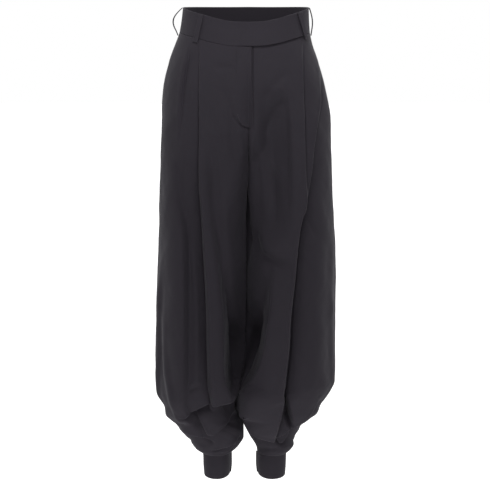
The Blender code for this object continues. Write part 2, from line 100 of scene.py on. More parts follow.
LEFT_LEG = [
    Ring(30, 136, 4.97, -94, 101, 0.10, 2.10, 2.1),
    Ring(-20, 137, 4.97, -98, 105, 0.10, 2.10, 2.1),
    Ring(-50, 142, 4.97, -105, 113, 0.10, 2.10, 2.1),
    Ring(-92, 157, 4.97, -114, 125, 0.12, 2.15, 2.2),
    Ring(-150, 172, 4.97, -120, 135, 0.20, 2.20, 2.3),
    Ring(-235, 185, 4.97, -121, 138, 0.34, 2.25, 2.2),
    Ring(-322, 188, 4.98, -121, 135, 0.46, 2.30, 2.2),
    Ring(-380, 190, 3.80, -122, 131, 0.50, 2.30, 2.2),
    Ring(-480, 194, 3.25, -125, 128, 0.50, 2.30, 2.2),
    Ring(-610, 194, 3.25, -131, 130, 0.50, 2.30, 2.25),
    Ring(-720, 195, 1.75, -135, 133, 0.50, 2.25, 2.3),
    Ring(-790, 197, -5.8, -137, 134, 0.50, 2.20, 2.3),
    Ring(-812, 189, -15.5, -134, 131, 0.50, 2.20, 2.7),
    Ring(-843, 169, -21.0, -122, 123, 0.50, 2.20, 2.5),
    Ring(-858, 161, -19.0, -114, 117, 0.50, 2.20, 2.4),
    Ring(-867, 154, -11.0, -108, 112, 0.50, 2.20, 2.3),
    Ring(-888, 134, -8.0, -93, 100, 0.50, 2.20, 2.2),
    Ring(-905, 119, 0.0, -78, 88, 0.50, 2.15, 2.2),
    Ring(-923, 108, 9.0, -62, 74, 0.50, 2.10, 2.1),
    Ring(-940, 106, 20.0, -51, 64, 0.50, 2.10, 2.1),
    Ring(-952, 99, 24.0, -42, 56, 0.50, 2.10, 2.1),
    Ring(-962, 90, 25.0, -34, 49, 0.50, 2.10, 2.1),
    Ring(-985, 89, 25.0, -33, 47, 0.50, 2.10, 2.1),
    Ring(-1008, 87, 27.0, -31, 45, 0.50, 2.10, 2.1),
]
LEGS = {"right": RIGHT_LEG, "left": LEFT_LEG}

# The places read round half a leg: its outer side, its inner corner, and the side that lies by the other leg.
# The first two runs meet where the leg faces forward or back, at a share of its width from the centre, and
# the last is at least LYING_LEAST long.
RUNS = (150, 70, 30)
SPLIT = 0.3
FACING_SHARE = 0.7
LYING_LEAST = 4.0
ACROSS = sum(RUNS) + 1
CORNER_STEPS = 90
LYING_STEPS = 40

Corner = namedtuple("Corner", "z depth")
# How deep the turn from a leg's front into the side by the other leg may be.
CORNER_DEPTH = [Corner(-480, 140.0), Corner(CROTCH_Z, 60.0)]
SHALLOW_CORNER = 8.0
DEEP_CORNER = 50.0

# The wavy line that the legs share where they lie together, with the heights over which they meet and part.
WAVE_HEIGHT = 17.0
WAVE_HALF_LENGTH = 62.0
WAVE_FADES_OVER = (8.0, 34.0)
LEGS_MEET_OVER = (-316.0, -332.0)
LEGS_PART_OVER = (-846.0, -866.0)


def flow(x, knots, values):
    """A smooth curve through the values that never swings past them."""
    x, knots, values = (np.asarray(a, float) for a in (x, knots, values))
    step = np.diff(knots)
    slope = np.diff(values) / step
    tangent = np.zeros(len(knots))
    same_way = slope[:-1] * slope[1:] > 0
    tangent[1:-1][same_way] = (2 * slope[:-1] * slope[1:] / (slope[:-1] + slope[1:] + 1e-12))[same_way]
    tangent[0], tangent[-1] = slope[0], slope[-1]
    x = np.clip(x, knots[0], knots[-1])
    i = np.clip(np.searchsorted(knots, x, side="right") - 1, 0, len(step) - 1)
    t = (x - knots[i]) / step[i]
    return (
        values[i] * (1 + 2 * t) * (1 - t) ** 2
        + tangent[i] * step[i] * t * (1 - t) ** 2
        + values[i + 1] * t**2 * (3 - 2 * t)
        - tangent[i + 1] * step[i] * t**2 * (1 - t)
    )


def column(table, name, at):
    """One column of a table of heights, read smoothly at the heights asked for."""
    rows = sorted(table, key=lambda row: row.z)
    return flow(at, [row.z for row in rows], [getattr(row, name) for row in rows])


def ease(x, low, high):
    """0 at low, 1 at high, smooth between."""
    t = np.clip((x - low) / (high - low), 0, 1)
    return t * t * (3 - 2 * t)


def lengths_along(curve):
    """How far along a curve each of its points lies."""
    return np.concatenate([[0], np.cumsum(np.linalg.norm(np.diff(curve, axis=0), axis=1))])


def runs_of(curve, marks):
    """Points along a curve, the places of each run evenly spaced between its marks."""
    along = lengths_along(curve)
    at = [np.linspace(*ends, places + 1)[:-1] for ends, places in zip(zip(marks[:-1], marks[1:]), RUNS)]
    at = np.concatenate(at + [[marks[-1]]])
    return np.stack([np.interp(at, along, curve[:, k]) for k in range(2)], axis=1)


def corner(square):
    """A quarter of a rounded square of side 1, 2 being a circle."""
    angle = np.linspace(0, pi / 2, CORNER_STEPS)
    return np.cos(angle) ** (2 / square), np.sin(angle) ** (2 / square)


def seam_depth(z, side, depth):
    """How far forward or back the two legs still join at height z."""
    start = FLY_END_Z if side == "front" else BACK_CURVE_Z
    fall = np.clip((start - z) / (start - CROTCH_Z), 0, 1)
    middle = depth - np.sign(depth) * (CENTRE_DIP if side == "front" else 0) * ease(z, DIP_START_Z, FLY_END_Z)
    return INSEAM_Y + (middle - INSEAM_Y) * np.sqrt(1 - fall**2)


def half_section(leg, z, side):
    """The front or back half of a leg's level section at height z, from the side seam to the inner seam."""
    rows = LEGS[leg]
    outer, inner, depth, share, outer_square, inner_square = (
        column(rows, name, z) for name in ("outer", "inner", side, "apex", "outer_square", "inner_square")
    )
    apex = inner + (outer - inner) * share
    seam = seam_depth(z, side, depth)
    span = max(abs(depth - seam), 0.01)
    round_depth = np.sign(depth) * (span**-4 + column(CORNER_DEPTH, "depth", z) ** -4) ** -0.25
    out, forward = corner(outer_square)
    outside = np.stack([apex + (outer - apex) * out, SIDE_Y + (depth - SIDE_Y) * forward], axis=1)
    # A shallow inner corner is a plain dip to the seam; a deep one turns fully.
    out, forward = corner(inner_square)
    full_turn = ease(span, SHALLOW_CORNER, DEEP_CORNER)
    fall = full_turn * (1 - forward) + (1 - full_turn) * out**3
    turned = np.stack([apex + (inner - apex) * out, depth - round_depth * fall], axis=1)[::-1]
    lying = np.linspace(depth - round_depth, seam, LYING_STEPS)
    lying = np.stack([np.full(LYING_STEPS, inner), lying], axis=1)
    inside = np.concatenate([turned, lying[1:]])
    way = np.clip((inside[:, 1] - INSEAM_Y) / WAVE_HALF_LENGTH, -1, 1)
    close = 1 - ease(np.abs(inside[:, 0] - inner), *WAVE_FADES_OVER)
    together = ease(z, *LEGS_MEET_OVER) * (1 - ease(z, *LEGS_PART_OVER))
    inside[:, 0] += WAVE_HEIGHT * way * (1 - way**2) ** 2 * close * together
    curve = np.concatenate([outside, inside[1:]])
    lengths = lengths_along(curve)
    facing = np.abs(curve[:, 1] - SIDE_Y) > FACING_SHARE * np.abs(depth - SIDE_Y)
    sense = np.sign(outer)
    split_x = inner + (outer - inner) * SPLIT
    split = np.interp(split_x * sense, curve[facing, 0][::-1] * sense, lengths[facing][::-1])
    turned_at = min(lengths[len(outside) + len(turned) - 2], lengths[-1] - LYING_LEAST)
    return runs_of(curve, [0, split, turned_at, lengths[-1]])


def waist_lift(turn):
    """Height of the waist above its height at centre front."""
    return flow(np.abs(turn), [row.turn for row in WAIST_LIFT], [row.lift for row in WAIST_LIFT])


def level_row(leg, z):
    """The leg at the level with height z at centre front: from the inner seam round the back to the front."""
    back, front = half_section(leg, z, "back")[::-1], half_section(leg, z, "front")
    round_back, round_front = lengths_along(back), lengths_along(front)
    turn_back = 180 - 90 * round_back / round_back[-1]
    turn_front = 90 - 90 * round_front / round_front[-1]
    turn = np.concatenate([turn_back, turn_front[1:]])
    flat = np.concatenate([back, front[1:]])
    lift = waist_lift(turn) * (1 - ease(z, BAND_SEAM_Z, LIFT_END_Z))
    if lift.max() > 0:
        high = [half_section(leg, z + lift.max(), side) for side in ("back", "front")]
        high = np.concatenate([high[0][::-1], high[1][1:]])
        share = (lift / lift.max())[:, None]
        flat = flat * (1 - share) + high * share
    return np.concatenate([flat, (z + lift)[:, None]], axis=1)


def at_places(rows, places):
    """Each level of a sheet read at its own places, which need not be whole numbers."""
    below = np.clip(np.floor(places).astype(int), 0, rows.shape[1] - 2)
    part = (places - below)[..., None]
    level = np.arange(len(rows))[:, None]
    return rows[level, below] * (1 - part) + rows[level, below + 1] * part


def outward(sheet):
    """Unit normals of a sheet of levels from the top down, pointing away from its middle."""
    normal = np.cross(np.gradient(sheet, axis=1), np.gradient(sheet, axis=0))
    normal /= np.linalg.norm(normal, axis=2, keepdims=True) + 1e-9
    middle = sheet.mean(axis=1, keepdims=True)
    return normal * np.sign(((sheet - middle)[..., :2] * normal[..., :2]).sum())


# ------------------------------------------------------------------------------------------------------------
# The folds set in the legs.
# Two pleats are laid in each front at the band. Below, the full cloth falls in long folds and bags over the
# ankle, where it is turned up and caught into the cuff. The back hangs in softer folds of the same kind.
# ------------------------------------------------------------------------------------------------------------
Fold = namedtuple("Fold", "leg seen proud rise dip near far edge lean path")
# A fold with an edge, drawn as it is seen: its path has rows of place across, height and strength. On its
# proud side (the +X side of a path that runs down is 1) the cloth stands out by rise, on the other it drops
# by dip, and these die away over near and far. The step between them is edge wide, and by lean it leans over
# the low side.
FOLDS = [
    # The main pleat of the right front, and the softer one outside it.
    Fold("right", "front", 1, 9, 28, 44, 44, 5, 5, [
        (-98, -60, 0.05), (-98, -130, 0.09), (-98, -230, 0.18), (-98, -310, 0.4), (-97, -359, 0.58),
        (-92, -416, 0.75), (-87, -503, 0.9), (-81, -576, 1), (-78, -663, 1), (-75, -760, 0.9),
        (-72, -815, 0.6), (-70, -850, 0)]),
    Fold("right", "front", -1, 2, 4, 24, 22, 5, 4, [
        (-120, -62, 0.05), (-126, -85, 0.6), (-134, -120, 1), (-140, -162, 1), (-142, -205, 0.5),
        (-144, -265, 0)]),
    # The edge of the outer part, where the valley beside the pleat begins.
    Fold("right", "front", -1, 6, 15, 30, 40, 7, 2, [
        (-152, -300, 0), (-150, -345, 0.4), (-147, -393, 0.6), (-140, -431, 0.8), (-135, -478, 1),
        (-134, -590, 1), (-134, -700, 1), (-134, -760, 0.9), (-134, -820, 0.8), (-132, -850, 0.6),
        (-130, -868, 0)]),
    # The inner edge of the ridge beside the pleat, running in towards the centre.
    Fold("right", "front", -1, 5, 22, 24, 50, 22, 0, [
        (-84, -250, 0), (-80, -302, 0.7), (-76, -373, 1), (-70, -431, 1), (-60, -489, 1), (-52, -561, 1),
        (-46, -640, 0.8), (-46, -720, 0.5), (-46, -790, 0)]),
    # Where the leg bags over its ankle: the hanging edge, and the folded layer under it.
    Fold("right", "front", 1, 4, 32, 30, 34, 4, 12, [
        (-142, -855, 0), (-136, -850, 0.8), (-128, -844, 1), (-115, -839, 1), (-100, -832, 1), (-85, -825, 1),
        (-72, -821, 1), (-56, -818, 1), (-38, -817, 1), (-20, -817, 0.9), (-4, -818, 0)]),
    Fold("right", "front", 1, 8, 22, 24, 24, 3.5, 8, [
        (-110, -844, 0), (-102, -854, 0.8), (-92, -870, 1), (-81, -890, 1), (-77, -896, 1), (-72, -894, 1),
        (-58, -883, 1), (-42, -870, 1), (-27, -858, 0.9), (-14, -848, 0)]),
    # The creases where the right leg is gathered to its cuff.
    Fold("right", "front", 1, 8, 22, 15, 13, 3.5, 8, [
        (-144, -892, 0), (-134, -897, 0.8), (-120, -902, 1), (-106, -907, 1), (-93, -912, 1),
        (-82, -918, 0.6), (-72, -924, 0)]),
    Fold("right", "front", 1, 6, 15, 10, 11, 3.5, 6, [
        (-78, -946, 0), (-69, -942, 0.7), (-55, -936, 1), (-40, -931, 1), (-26, -924, 1), (-12, -914, 0)]),
    Fold("right", "front", 1, 3, 8, 7, 8, 3, 3, [
        (-72, -955, 0), (-60, -953, 0.9), (-43, -952, 1), (-31, -946, 0.8), (-20, -934, 0)]),
    # The left front: the inner pleat, and the outer one falling inwards down the whole leg.
    Fold("left", "front", -1, 2, 3, 26, 22, 4, 5, [
        (120, -60, 0.2), (119, -108, 0.5), (121, -222, 0.7), (120, -330, 0.5), (119, -420, 0)]),
    Fold("left", "front", -1, 9, 24, 46, 46, 4, 9, [
        (158, -100, 0), (160, -140, 0.1), (160, -176, 0.2), (148, -236, 0.32), (141, -279, 0.4),
        (136, -322, 0.5), (123, -388, 0.6), (107, -460, 0.75), (97, -561, 0.9), (89, -643, 1), (86, -701, 1),
        (81, -745, 1), (76, -789, 1), (72, -819, 1), (67, -845, 1), (62, -871, 0.9), (59, -893, 0.6),
        (58, -912, 0)]),
    # The lobe that leans over the centre, and the slack fold that starts it.
    Fold("left", "front", 1, 8, 22, 36, 60, 8, 8, [
        (56, -570, 0), (55, -606, 0.1), (53, -636, 0.3), (50, -662, 0.65), (44, -701, 1), (37, -732, 1),
        (27, -757, 1), (13, -781, 1), (-4, -798, 0.9), (-16, -812, 0.6), (-25, -830, 0)]),
    Fold("left", "front", 1, 4, 15, 24, 40, 18, 0, [
        (8, -440, 0), (13, -463, 0.8), (28, -490, 1), (50, -510, 1), (74, -516, 0.7), (92, -514, 0)]),
    # The left leg's lower edge, where it bags over the ankle, and the slit beside the long fold.
    Fold("left", "front", 1, 8, 24, 30, 22, 4, 12, [
        (-26, -842, 0), (-18, -850, 0.6), (1, -864, 1), (4, -878, 1), (15, -893, 1), (36, -903, 1),
        (55, -908, 1), (72, -905, 1), (100, -888, 1), (129, -864, 0.9), (148, -842, 0.4), (160, -824, 0)]),
    Fold("left", "front", 1, 5, 40, 34, 17, 3.5, 4, [
        (84, -806, 0), (89, -817, 0.7), (94, -828, 1), (98, -842, 1), (101, -857, 1), (101, -872, 0.9),
        (96, -888, 0)]),
    Fold("left", "front", -1, 2, 20, 20, 20, 3.5, 4, [
        (74, -806, 0), (72, -822, 0.5), (69, -838, 1), (65, -856, 1), (61, -874, 0.8), (58, -892, 0)]),
    # The crease where the left leg is gathered to its cuff.
    Fold("left", "front", 1, 4, 10, 12, 11, 3.5, 5, [
        (62, -922, 0), (72, -924, 0.8), (81, -928, 1), (89, -923, 1), (98, -912, 1), (108, -900, 0)]),
    # The far side of the hollow over the left thigh.
    Fold("left", "front", 1, 2, 8, 20, 54, 9, 0, [
        (82, -150, 0), (88, -185, 0.7), (91, -229, 1), (93, -300, 1), (93, -370, 0.6), (92, -440, 0)]),
    # The back: the long soft folds that hang from the seat, and the edges where the legs bag.
    Fold("right", "back", -1, 7, 7, 56, 50, 30, 0, [
        (-92, -190, 0), (-97, -270, 0.6), (-100, -420, 0.9), (-94, -600, 1), (-86, -760, 1), (-82, -850, 0)]),
    Fold("left", "back", 1, 7, 7, 58, 50, 30, 0, [
        (94, -170, 0), (100, -250, 0.5), (104, -400, 0.9), (97, -590, 1), (90, -740, 1), (84, -850, 0)]),
    Fold("right", "back", 1, 3, 5, 30, 34, 16, 0, [
        (-150, -330, 0), (-146, -430, 0.8), (-138, -560, 1), (-128, -700, 1), (-122, -800, 0)]),
    Fold("left", "back", -1, 3, 6, 30, 34, 14, 0, [
        (146, -300, 0), (142, -420, 0.7), (133, -540, 1), (128, -690, 1), (126, -790, 0)]),
    Fold("right", "back", 1, 3, 6, 26, 30, 12, 0, [
        (-38, -420, 0), (-48, -500, 0.8), (-56, -600, 1), (-50, -700, 1), (-36, -790, 0)]),
    Fold("left", "back", 1, 3, 6, 28, 30, 12, 0, [
        (44, -460, 0), (36, -560, 0.9), (30, -660, 1), (20, -760, 1), (10, -820, 0)]),
    Fold("right", "back", 1, 7, 9, 44, 30, 9, 6, [
        (-172, -806, 0), (-152, -830, 0.2), (-130, -850, 0.7), (-106, -861, 1), (-82, -859, 1),
        (-56, -848, 0.9), (-34, -832, 0.5), (-16, -812, 0)]),
    Fold("left", "back", 1, 7, 9, 44, 30, 9, 6, [
        (-6, -824, 0), (14, -844, 0.4), (36, -860, 0.9), (66, -873, 1), (98, -871, 1), (124, -858, 0.6),
        (146, -836, 0.2), (162, -808, 0)]),
    Fold("right", "back", 1, 4, 5, 16, 14, 5, 4, [
        (-128, -884, 0), (-108, -896, 0.8), (-84, -906, 1), (-58, -902, 1), (-34, -884, 0)]),
    Fold("left", "back", 1, 4, 5, 16, 14, 5, 4, [
        (30, -880, 0), (50, -902, 0.9), (76, -910, 1), (100, -898, 1), (122, -880, 0)]),
    # The outer sides: the fall beside the side seam, and its lower edge.
    Fold("right", "right", 1, 6, 6, 50, 40, 20, 0, [
        (-62, -520, 0), (-58, -600, 0.8), (-54, -700, 1), (-50, -790, 1), (-46, -850, 0)]),
    Fold("left", "left", 1, 3, 3, 50, 40, 24, 0, [
        (-60, -480, 0), (-64, -580, 0.8), (-66, -700, 1), (-62, -780, 1), (-58, -850, 0)]),
    Fold("right", "right", -1, 4, 5, 34, 34, 18, 0, [
        (62, -400, 0), (66, -520, 0.8), (62, -660, 1), (54, -780, 1), (50, -850, 0)]),
    Fold("left", "left", -1, 4, 5, 34, 34, 18, 0, [
        (58, -420, 0), (64, -540, 0.9), (60, -680, 1), (56, -790, 1), (50, -850, 0)]),
]

Swell = namedtuple("Swell", "leg seen height width path")
# A soft ridge, or a trough where its height is below zero, with the same kind of path.
SWELLS = [
    # Beside the right pleat: the ridge in its valley, and two on its inner part.
    Swell("right", "front", 3.5, 9, [
        (-120, -480, 0), (-114, -545, 0.7), (-108, -610, 1), (-106, -700, 1), (-106, -750, 0.8),
        (-108, -790, 0)]),
    Swell("right", "front", 2.5, 10, [
        (-42, -360, 0), (-36, -430, 0.8), (-28, -510, 1), (-22, -590, 0.8), (-16, -660, 0)]),
    Swell("right", "front", 1.8, 9, [
        (-70, -240, 0), (-56, -330, 0.8), (-40, -420, 0.8), (-30, -500, 0)]),
    # The drag from the pleat down towards the crotch, and the puckers beside it.
    Swell("right", "front", -4.0, 9, [
        (-54, -145, 0), (-41, -172, 0.8), (-31, -198, 1), (-28, -225, 1), (-30, -252, 1), (-25, -280, 1),
        (-18, -312, 0)]),
    Swell("right", "front", 4.0, 8, [
        (-22, -238, 0), (-12, -247, 1), (-8, -264, 1), (-8, -288, 0.6), (-9, -312, 0)]),
    Swell("right", "front", -2.4, 9, [
        (-84, -175, 0), (-74, -215, 1), (-58, -255, 1), (-42, -290, 0)]),
    Swell("right", "front", -1.8, 7, [(-72, -98, 0), (-54, -108, 1), (-40, -106, 1), (-28, -120, 0)]),
    # The pressed line of the main pleat, and the J where the fly is sewn down.
    Swell("right", "front", -1.6, 1.6, [
        (-101, -62, 0.6), (-101, -130, 1), (-101, -230, 1), (-100.5, -300, 0.6), (-100, -345, 0)]),
    Swell("right", "front", -2.8, 2.2, [
        (-30, -206, 0), (-25, -213, 0.9), (-17, -223, 1), (-8, -231, 1), (2, -235.5, 1), (10, -237, 1)]),
    # The rolled ridge beside the right leg's outline, with the groove outside it.
    Swell("right", "front", 4.5, 7, [
        (-178, -560, 0), (-180, -643, 0.5), (-180, -701, 0.8), (-174, -760, 1), (-163, -807, 1),
        (-151, -849, 1), (-136, -874, 0.7), (-118, -892, 0)]),
    Swell("right", "front", -4.0, 7, [
        (-190, -690, 0), (-189, -740, 0.8), (-183, -790, 1), (-172, -830, 0.8), (-160, -862, 0)]),
    # The pinch over the hanging edge, and the soft rolls of the ankle under it.
    Swell("right", "front", 1.6, 8, [(-132, -784, 0), (-120, -782, 1), (-108, -774, 1), (-96, -766, 0)]),
    Swell("right", "front", -2.6, 5, [(-132, -801, 0), (-122, -797, 1), (-110, -789, 1), (-98, -781, 0)]),
    Swell("right", "front", 3.0, 8, [(-166, -856, 0), (-150, -864, 1), (-130, -867, 1), (-108, -870, 0)]),
    Swell("right", "front", -2.5, 6, [(-150, -876, 0), (-136, -880, 1), (-118, -884, 1), (-96, -884, 0)]),
    Swell("right", "front", 3.0, 9, [(-58, -880, 0), (-40, -872, 1), (-24, -866, 0)]),
    Swell("right", "front", 2.0, 5, [(-76, -929, 0), (-58, -926, 1), (-42, -914, 0)]),
    Swell("right", "front", -2.0, 4, [(-108, -930, 0), (-98, -934, 1), (-82, -938, 0)]),
    # The left front: the ridge beside its long fold, and the drags over the thigh.
    Swell("left", "front", 5.0, 13, [
        (106, -160, 0), (106, -240, 0.8), (106, -330, 1), (103, -430, 1), (97, -520, 1), (90, -620, 0.6),
        (84, -700, 0)]),
    Swell("left", "front", -5.0, 9, [
        (92, -166, 0), (84, -180, 0.8), (66, -196, 1), (53, -216, 1), (36, -240, 0.6), (22, -262, 0)]),
    Swell("left", "front", -2.6, 9, [
        (90, -112, 0), (79, -126, 1), (62, -141, 1), (45, -161, 1), (30, -184, 0)]),
    Swell("left", "front", -1.6, 7, [(66, -76, 0), (54, -82, 1), (36, -91, 1), (20, -102, 0)]),
    # The pressed line of the left pleat.
    Swell("left", "front", -1.6, 1.6, [
        (122.5, -62, 0.5), (122, -108, 1), (124, -222, 1), (123, -330, 0.6), (122, -400, 0)]),
    # The hollows along the free edges of the fly and of the band's lap.
    Swell("left", "front", -2.8, 1.7, [
        (13.6, -62, 1), (13.6, -150, 1), (13.6, -225, 0.9), (13, -238, 0.4), (12, -250, 0)]),
    Swell("left", "front", -3.0, 2.0, [
        (8, -66.8, 1), (38, -65.0, 1), (71, -58.8, 1), (101, -49.8, 1), (118, -44.2, 0.4), (126, -41, 0)]),
    # The hollow of the left thigh with the ridge on its inner side, the dents of the knee, and the soft lines
    # below it.
    Swell("left", "front", -31.0, 42, [
        (50, -150, 0), (49, -215, 0.55), (45, -290, 1), (42, -350, 1), (42, -430, 0.8), (44, -500, 0)]),
    Swell("left", "front", 2.0, 12, [(14, -270, 0), (22, -330, 1), (30, -390, 0.8), (44, -440, 0)]),
    Swell("left", "front", -1.8, 6, [(134, -424, 0), (141, -440, 1), (150, -458, 1), (157, -474, 0)]),
    Swell("left", "front", -1.6, 7, [(128, -484, 0), (135, -494, 1), (144, -498, 0)]),
    Swell("left", "front", -2.5, 12, [(20, -530, 0), (28, -580, 1), (26, -640, 0.8), (18, -690, 0)]),
    Swell("left", "front", 2.5, 12, [
        (60, -560, 0), (66, -640, 0.8), (58, -730, 1), (44, -810, 0.8), (36, -870, 0)]),
    # The soft rolls of the left ankle.
    Swell("left", "front", -2.2, 5, [(34, -944, 0), (48, -945, 1), (66, -945, 1), (82, -950, 0)]),
    Swell("left", "front", 2.6, 8, [(88, -932, 0), (98, -920, 1), (106, -906, 0)]),
    Swell("left", "front", -2.0, 7, [(24, -916, 0), (34, -925, 1), (46, -930, 0)]),
    # The backs and the sides, in the same manner.
    Swell("right", "back", -2.4, 11, [(-22, -196, 0), (-46, -226, 1), (-74, -244, 1), (-104, -252, 0)]),
    Swell("left", "back", -2.4, 11, [(20, -204, 0), (44, -232, 1), (70, -248, 1), (100, -252, 0)]),
    Swell("right", "back", -2.0, 10, [(-18, -250, 0), (-34, -290, 1), (-58, -330, 0.8), (-86, -362, 0)]),
    Swell("left", "back", -2.0, 10, [(16, -256, 0), (30, -298, 1), (50, -340, 0.8), (78, -376, 0)]),
    Swell("right", "back", 2.6, 14, [(-70, -420, 0), (-72, -540, 1), (-68, -660, 1), (-62, -760, 0)]),
    Swell("left", "back", 2.6, 14, [(66, -400, 0), (70, -520, 1), (66, -640, 1), (58, -760, 0)]),
    Swell("right", "back", -2.6, 12, [(-118, -480, 0), (-112, -600, 1), (-106, -720, 1), (-104, -790, 0)]),
    Swell("left", "back", -2.6, 12, [(120, -470, 0), (112, -610, 1), (108, -720, 1), (106, -800, 0)]),
    Swell("right", "back", 3.0, 8, [(-150, -868, 0), (-126, -880, 1), (-96, -884, 0)]),
    Swell("left", "back", 3.0, 8, [(144, -866, 0), (118, -884, 1), (92, -890, 0)]),
    Swell("right", "back", -2.0, 5, [(-104, -926, 0), (-84, -932, 1), (-60, -930, 1), (-42, -920, 0)]),
    Swell("left", "back", -2.0, 5, [(36, -924, 0), (54, -934, 1), (78, -934, 1), (96, -924, 0)]),
    Swell("right", "right", 2.6, 12, [(0, -430, 0), (4, -560, 1), (2, -700, 1), (-2, -790, 0)]),
    Swell("left", "left", 2.6, 12, [(-4, -400, 0), (-2, -540, 1), (4, -690, 1), (2, -790, 0)]),
    Swell("right", "right", -3.0, 12, [(-30, -540, 0), (-26, -660, 1), (-24, -770, 1), (-24, -830, 0)]),
    Swell("left", "left", -1.5, 12, [(-32, -520, 0), (-34, -650, 1), (-30, -760, 1), (-30, -830, 0)]),
    Swell("right", "right", 3.4, 9, [(-70, -842, 0), (-36, -866, 1), (4, -874, 1), (50, -866, 0)]),
    Swell("left", "left", 3.4, 9, [(-64, -846, 0), (-30, -864, 1), (10, -872, 1), (52, -862, 0)]),
    Swell("right", "right", -3.0, 6, [(-60, -880, 0), (-24, -894, 1), (16, -898, 1), (52, -888, 0)]),
    Swell("left", "left", -3.0, 6, [(-54, -884, 0), (-20, -896, 1), (18, -900, 1), (50, -888, 0)]),
    Swell("right", "right", -2.4, 5, [(-36, -922, 0), (-8, -930, 1), (24, -928, 1), (48, -916, 0)]),
    Swell("left", "left", -2.4, 5, [(-34, -924, 0), (-6, -932, 1), (22, -930, 1), (46, -918, 0)]),
]
# Which two axes a side is seen along, and which way it faces.
SEEN = {"front": (0, 1, -1), "back": (0, 1, 1), "right": (1, 0, -1), "left": (1, 0, 1)}

Ripple = namedtuple("Ripple", "across down height")
# The small unevenness of cloth all over: lengths of its waves across and down.
RIPPLES = [
    Ripple(170, 260, 0.9), Ripple(118, 150, 0.6), Ripple(74, 210, 0.5), Ripple(52, 96, 0.3),
    Ripple(33, 61, 0.16), Ripple(23, 38, 0.10),
]

CUFF_SEAM_Z = -960.0
# How far apart a leg's levels are: closest at the waist, where it is pleated, and at the ankle.
Spacing = namedtuple("Spacing", "above below step")
SPACINGS = [
    Spacing(BAND_SEAM_Z, -108, -2.3), Spacing(-108, -330, -3.4), Spacing(-330, -756, -3.6),
    Spacing(-756, -950, -2.0), Spacing(-950, CUFF_SEAM_Z - 1, -2.0),
]
LEVELS = np.concatenate([np.arange(*spacing) for spacing in SPACINGS])
# The columns of a front and a back panel in each run, from the side seam in.
FRONT_RUNS = (94, 44, 14)
BACK_RUNS = (62, 26, 16)
BACK_COLUMNS = sum(BACK_RUNS) + 1
PATH_STEPS = 40

# Folds die away towards the seams, the band and the cuff. Fine lines, narrower than FINE_WIDTH, run closer.
FOLDS_START = {"seam": (4, 40), "band": (0, 55), "cuff": (0, 16)}
FINE_START = {"seam": (1, 5), "band": (-1, 3), "cuff": (0, 8)}
FOLDS_AT_BAND = 0.1
FINE_WIDTH = 4
FACING_FROM = (0.05, 0.5)
FOLD_REACH = 2.2
SWELL_REACH = 2.6
# The edge of a fold leans over the low side, is rolled a little thicker, and the cloth dives under it.
LEAN_POWER = 0.3
SLOPE_POWER = 1.4
UNDER_WIDTH = 2.4
UNDER_DEPTH = 0.34
ROLL_HEIGHT = 0.18
RIPPLE_START = {"right": 0.7, "left": 2.9}


def smooth_path(path):
    """A path's rows read at even steps along a smooth curve through them."""
    path = np.asarray(path, float)
    knots = lengths_along(path[:, :2])
    at = np.linspace(0, knots[-1], PATH_STEPS)
    return np.stack([flow(at, knots, path[:, k]) for k in range(3)], axis=1)


def beside(flat, path):
    """For flat points: signed distance from a path, the path's strength there, and the way square to it."""
    best = np.full(len(flat), 1e9)
    signed, strength = np.zeros_like(best), np.zeros_like(best)
    square = np.zeros((len(flat), 2))
    rows = smooth_path(path)
    for start, end in zip(rows[:-1], rows[1:]):
        way = end[:2] - start[:2]
        length = np.linalg.norm(way)
        way = way / length
        rel = flat - start[:2]
        t = np.clip(rel @ way, 0, length)
        far = np.linalg.norm(rel - t[:, None] * way, axis=1)
        nearer = far < best
        across = np.array([-way[1], way[0]])
        best = np.where(nearer, far, best)
        signed = np.where(nearer, np.sign(rel @ across) * far, signed)
        strength = np.where(nearer, start[2] + (end[2] - start[2]) * t / length, strength)
        square = np.where(nearer[:, None], across, square)
    return signed, strength, square


def near_path(sheet, normal, item, reach):
    """The points that a fold or swell can move, how far from its path they are, and its strength and way."""
    flat_axis, facing_axis, facing_sign = SEEN[item.seen]
    flat = sheet[..., [flat_axis, 2]]
    facing = ease(normal[..., facing_axis] * facing_sign, *FACING_FROM)
    path = np.array(item.path)[:, :2]
    low, high = path.min(axis=0) - reach, path.max(axis=0) + reach
    chosen = (facing > 0) & (flat > low).all(axis=2) & (flat < high).all(axis=2)
    signed, strength, square = beside(flat[chosen], item.path)
    return chosen, signed, np.clip(strength, 0, None) * facing[chosen], square


def reach_across(sheet):
    """How far along its level each point of a sheet lies from the level's start."""
    steps = np.linalg.norm(np.diff(sheet, axis=1), axis=2)
    return np.concatenate([np.zeros((len(sheet), 1)), np.cumsum(steps, axis=1)], axis=1)


def from_seams(sheet):
    """How far along its level each point of a sheet lies from the nearer of the level's ends."""
    reach = reach_across(sheet)
    return np.minimum(reach, reach[:, -1:] - reach)


def freedom(sheet, start, at_band=0.0):
    """How far each point of a leg is free to move: less near its seams, the band and the cuff."""
    below_band = sheet[:1, :, 2] - sheet[..., 2]
    above_cuff = sheet[..., 2] - sheet[-1:, :, 2]
    free_of_band = at_band + (1 - at_band) * ease(below_band, *start["band"])
    return ease(from_seams(sheet), *start["seam"]) * free_of_band * ease(above_cuff, *start["cuff"])


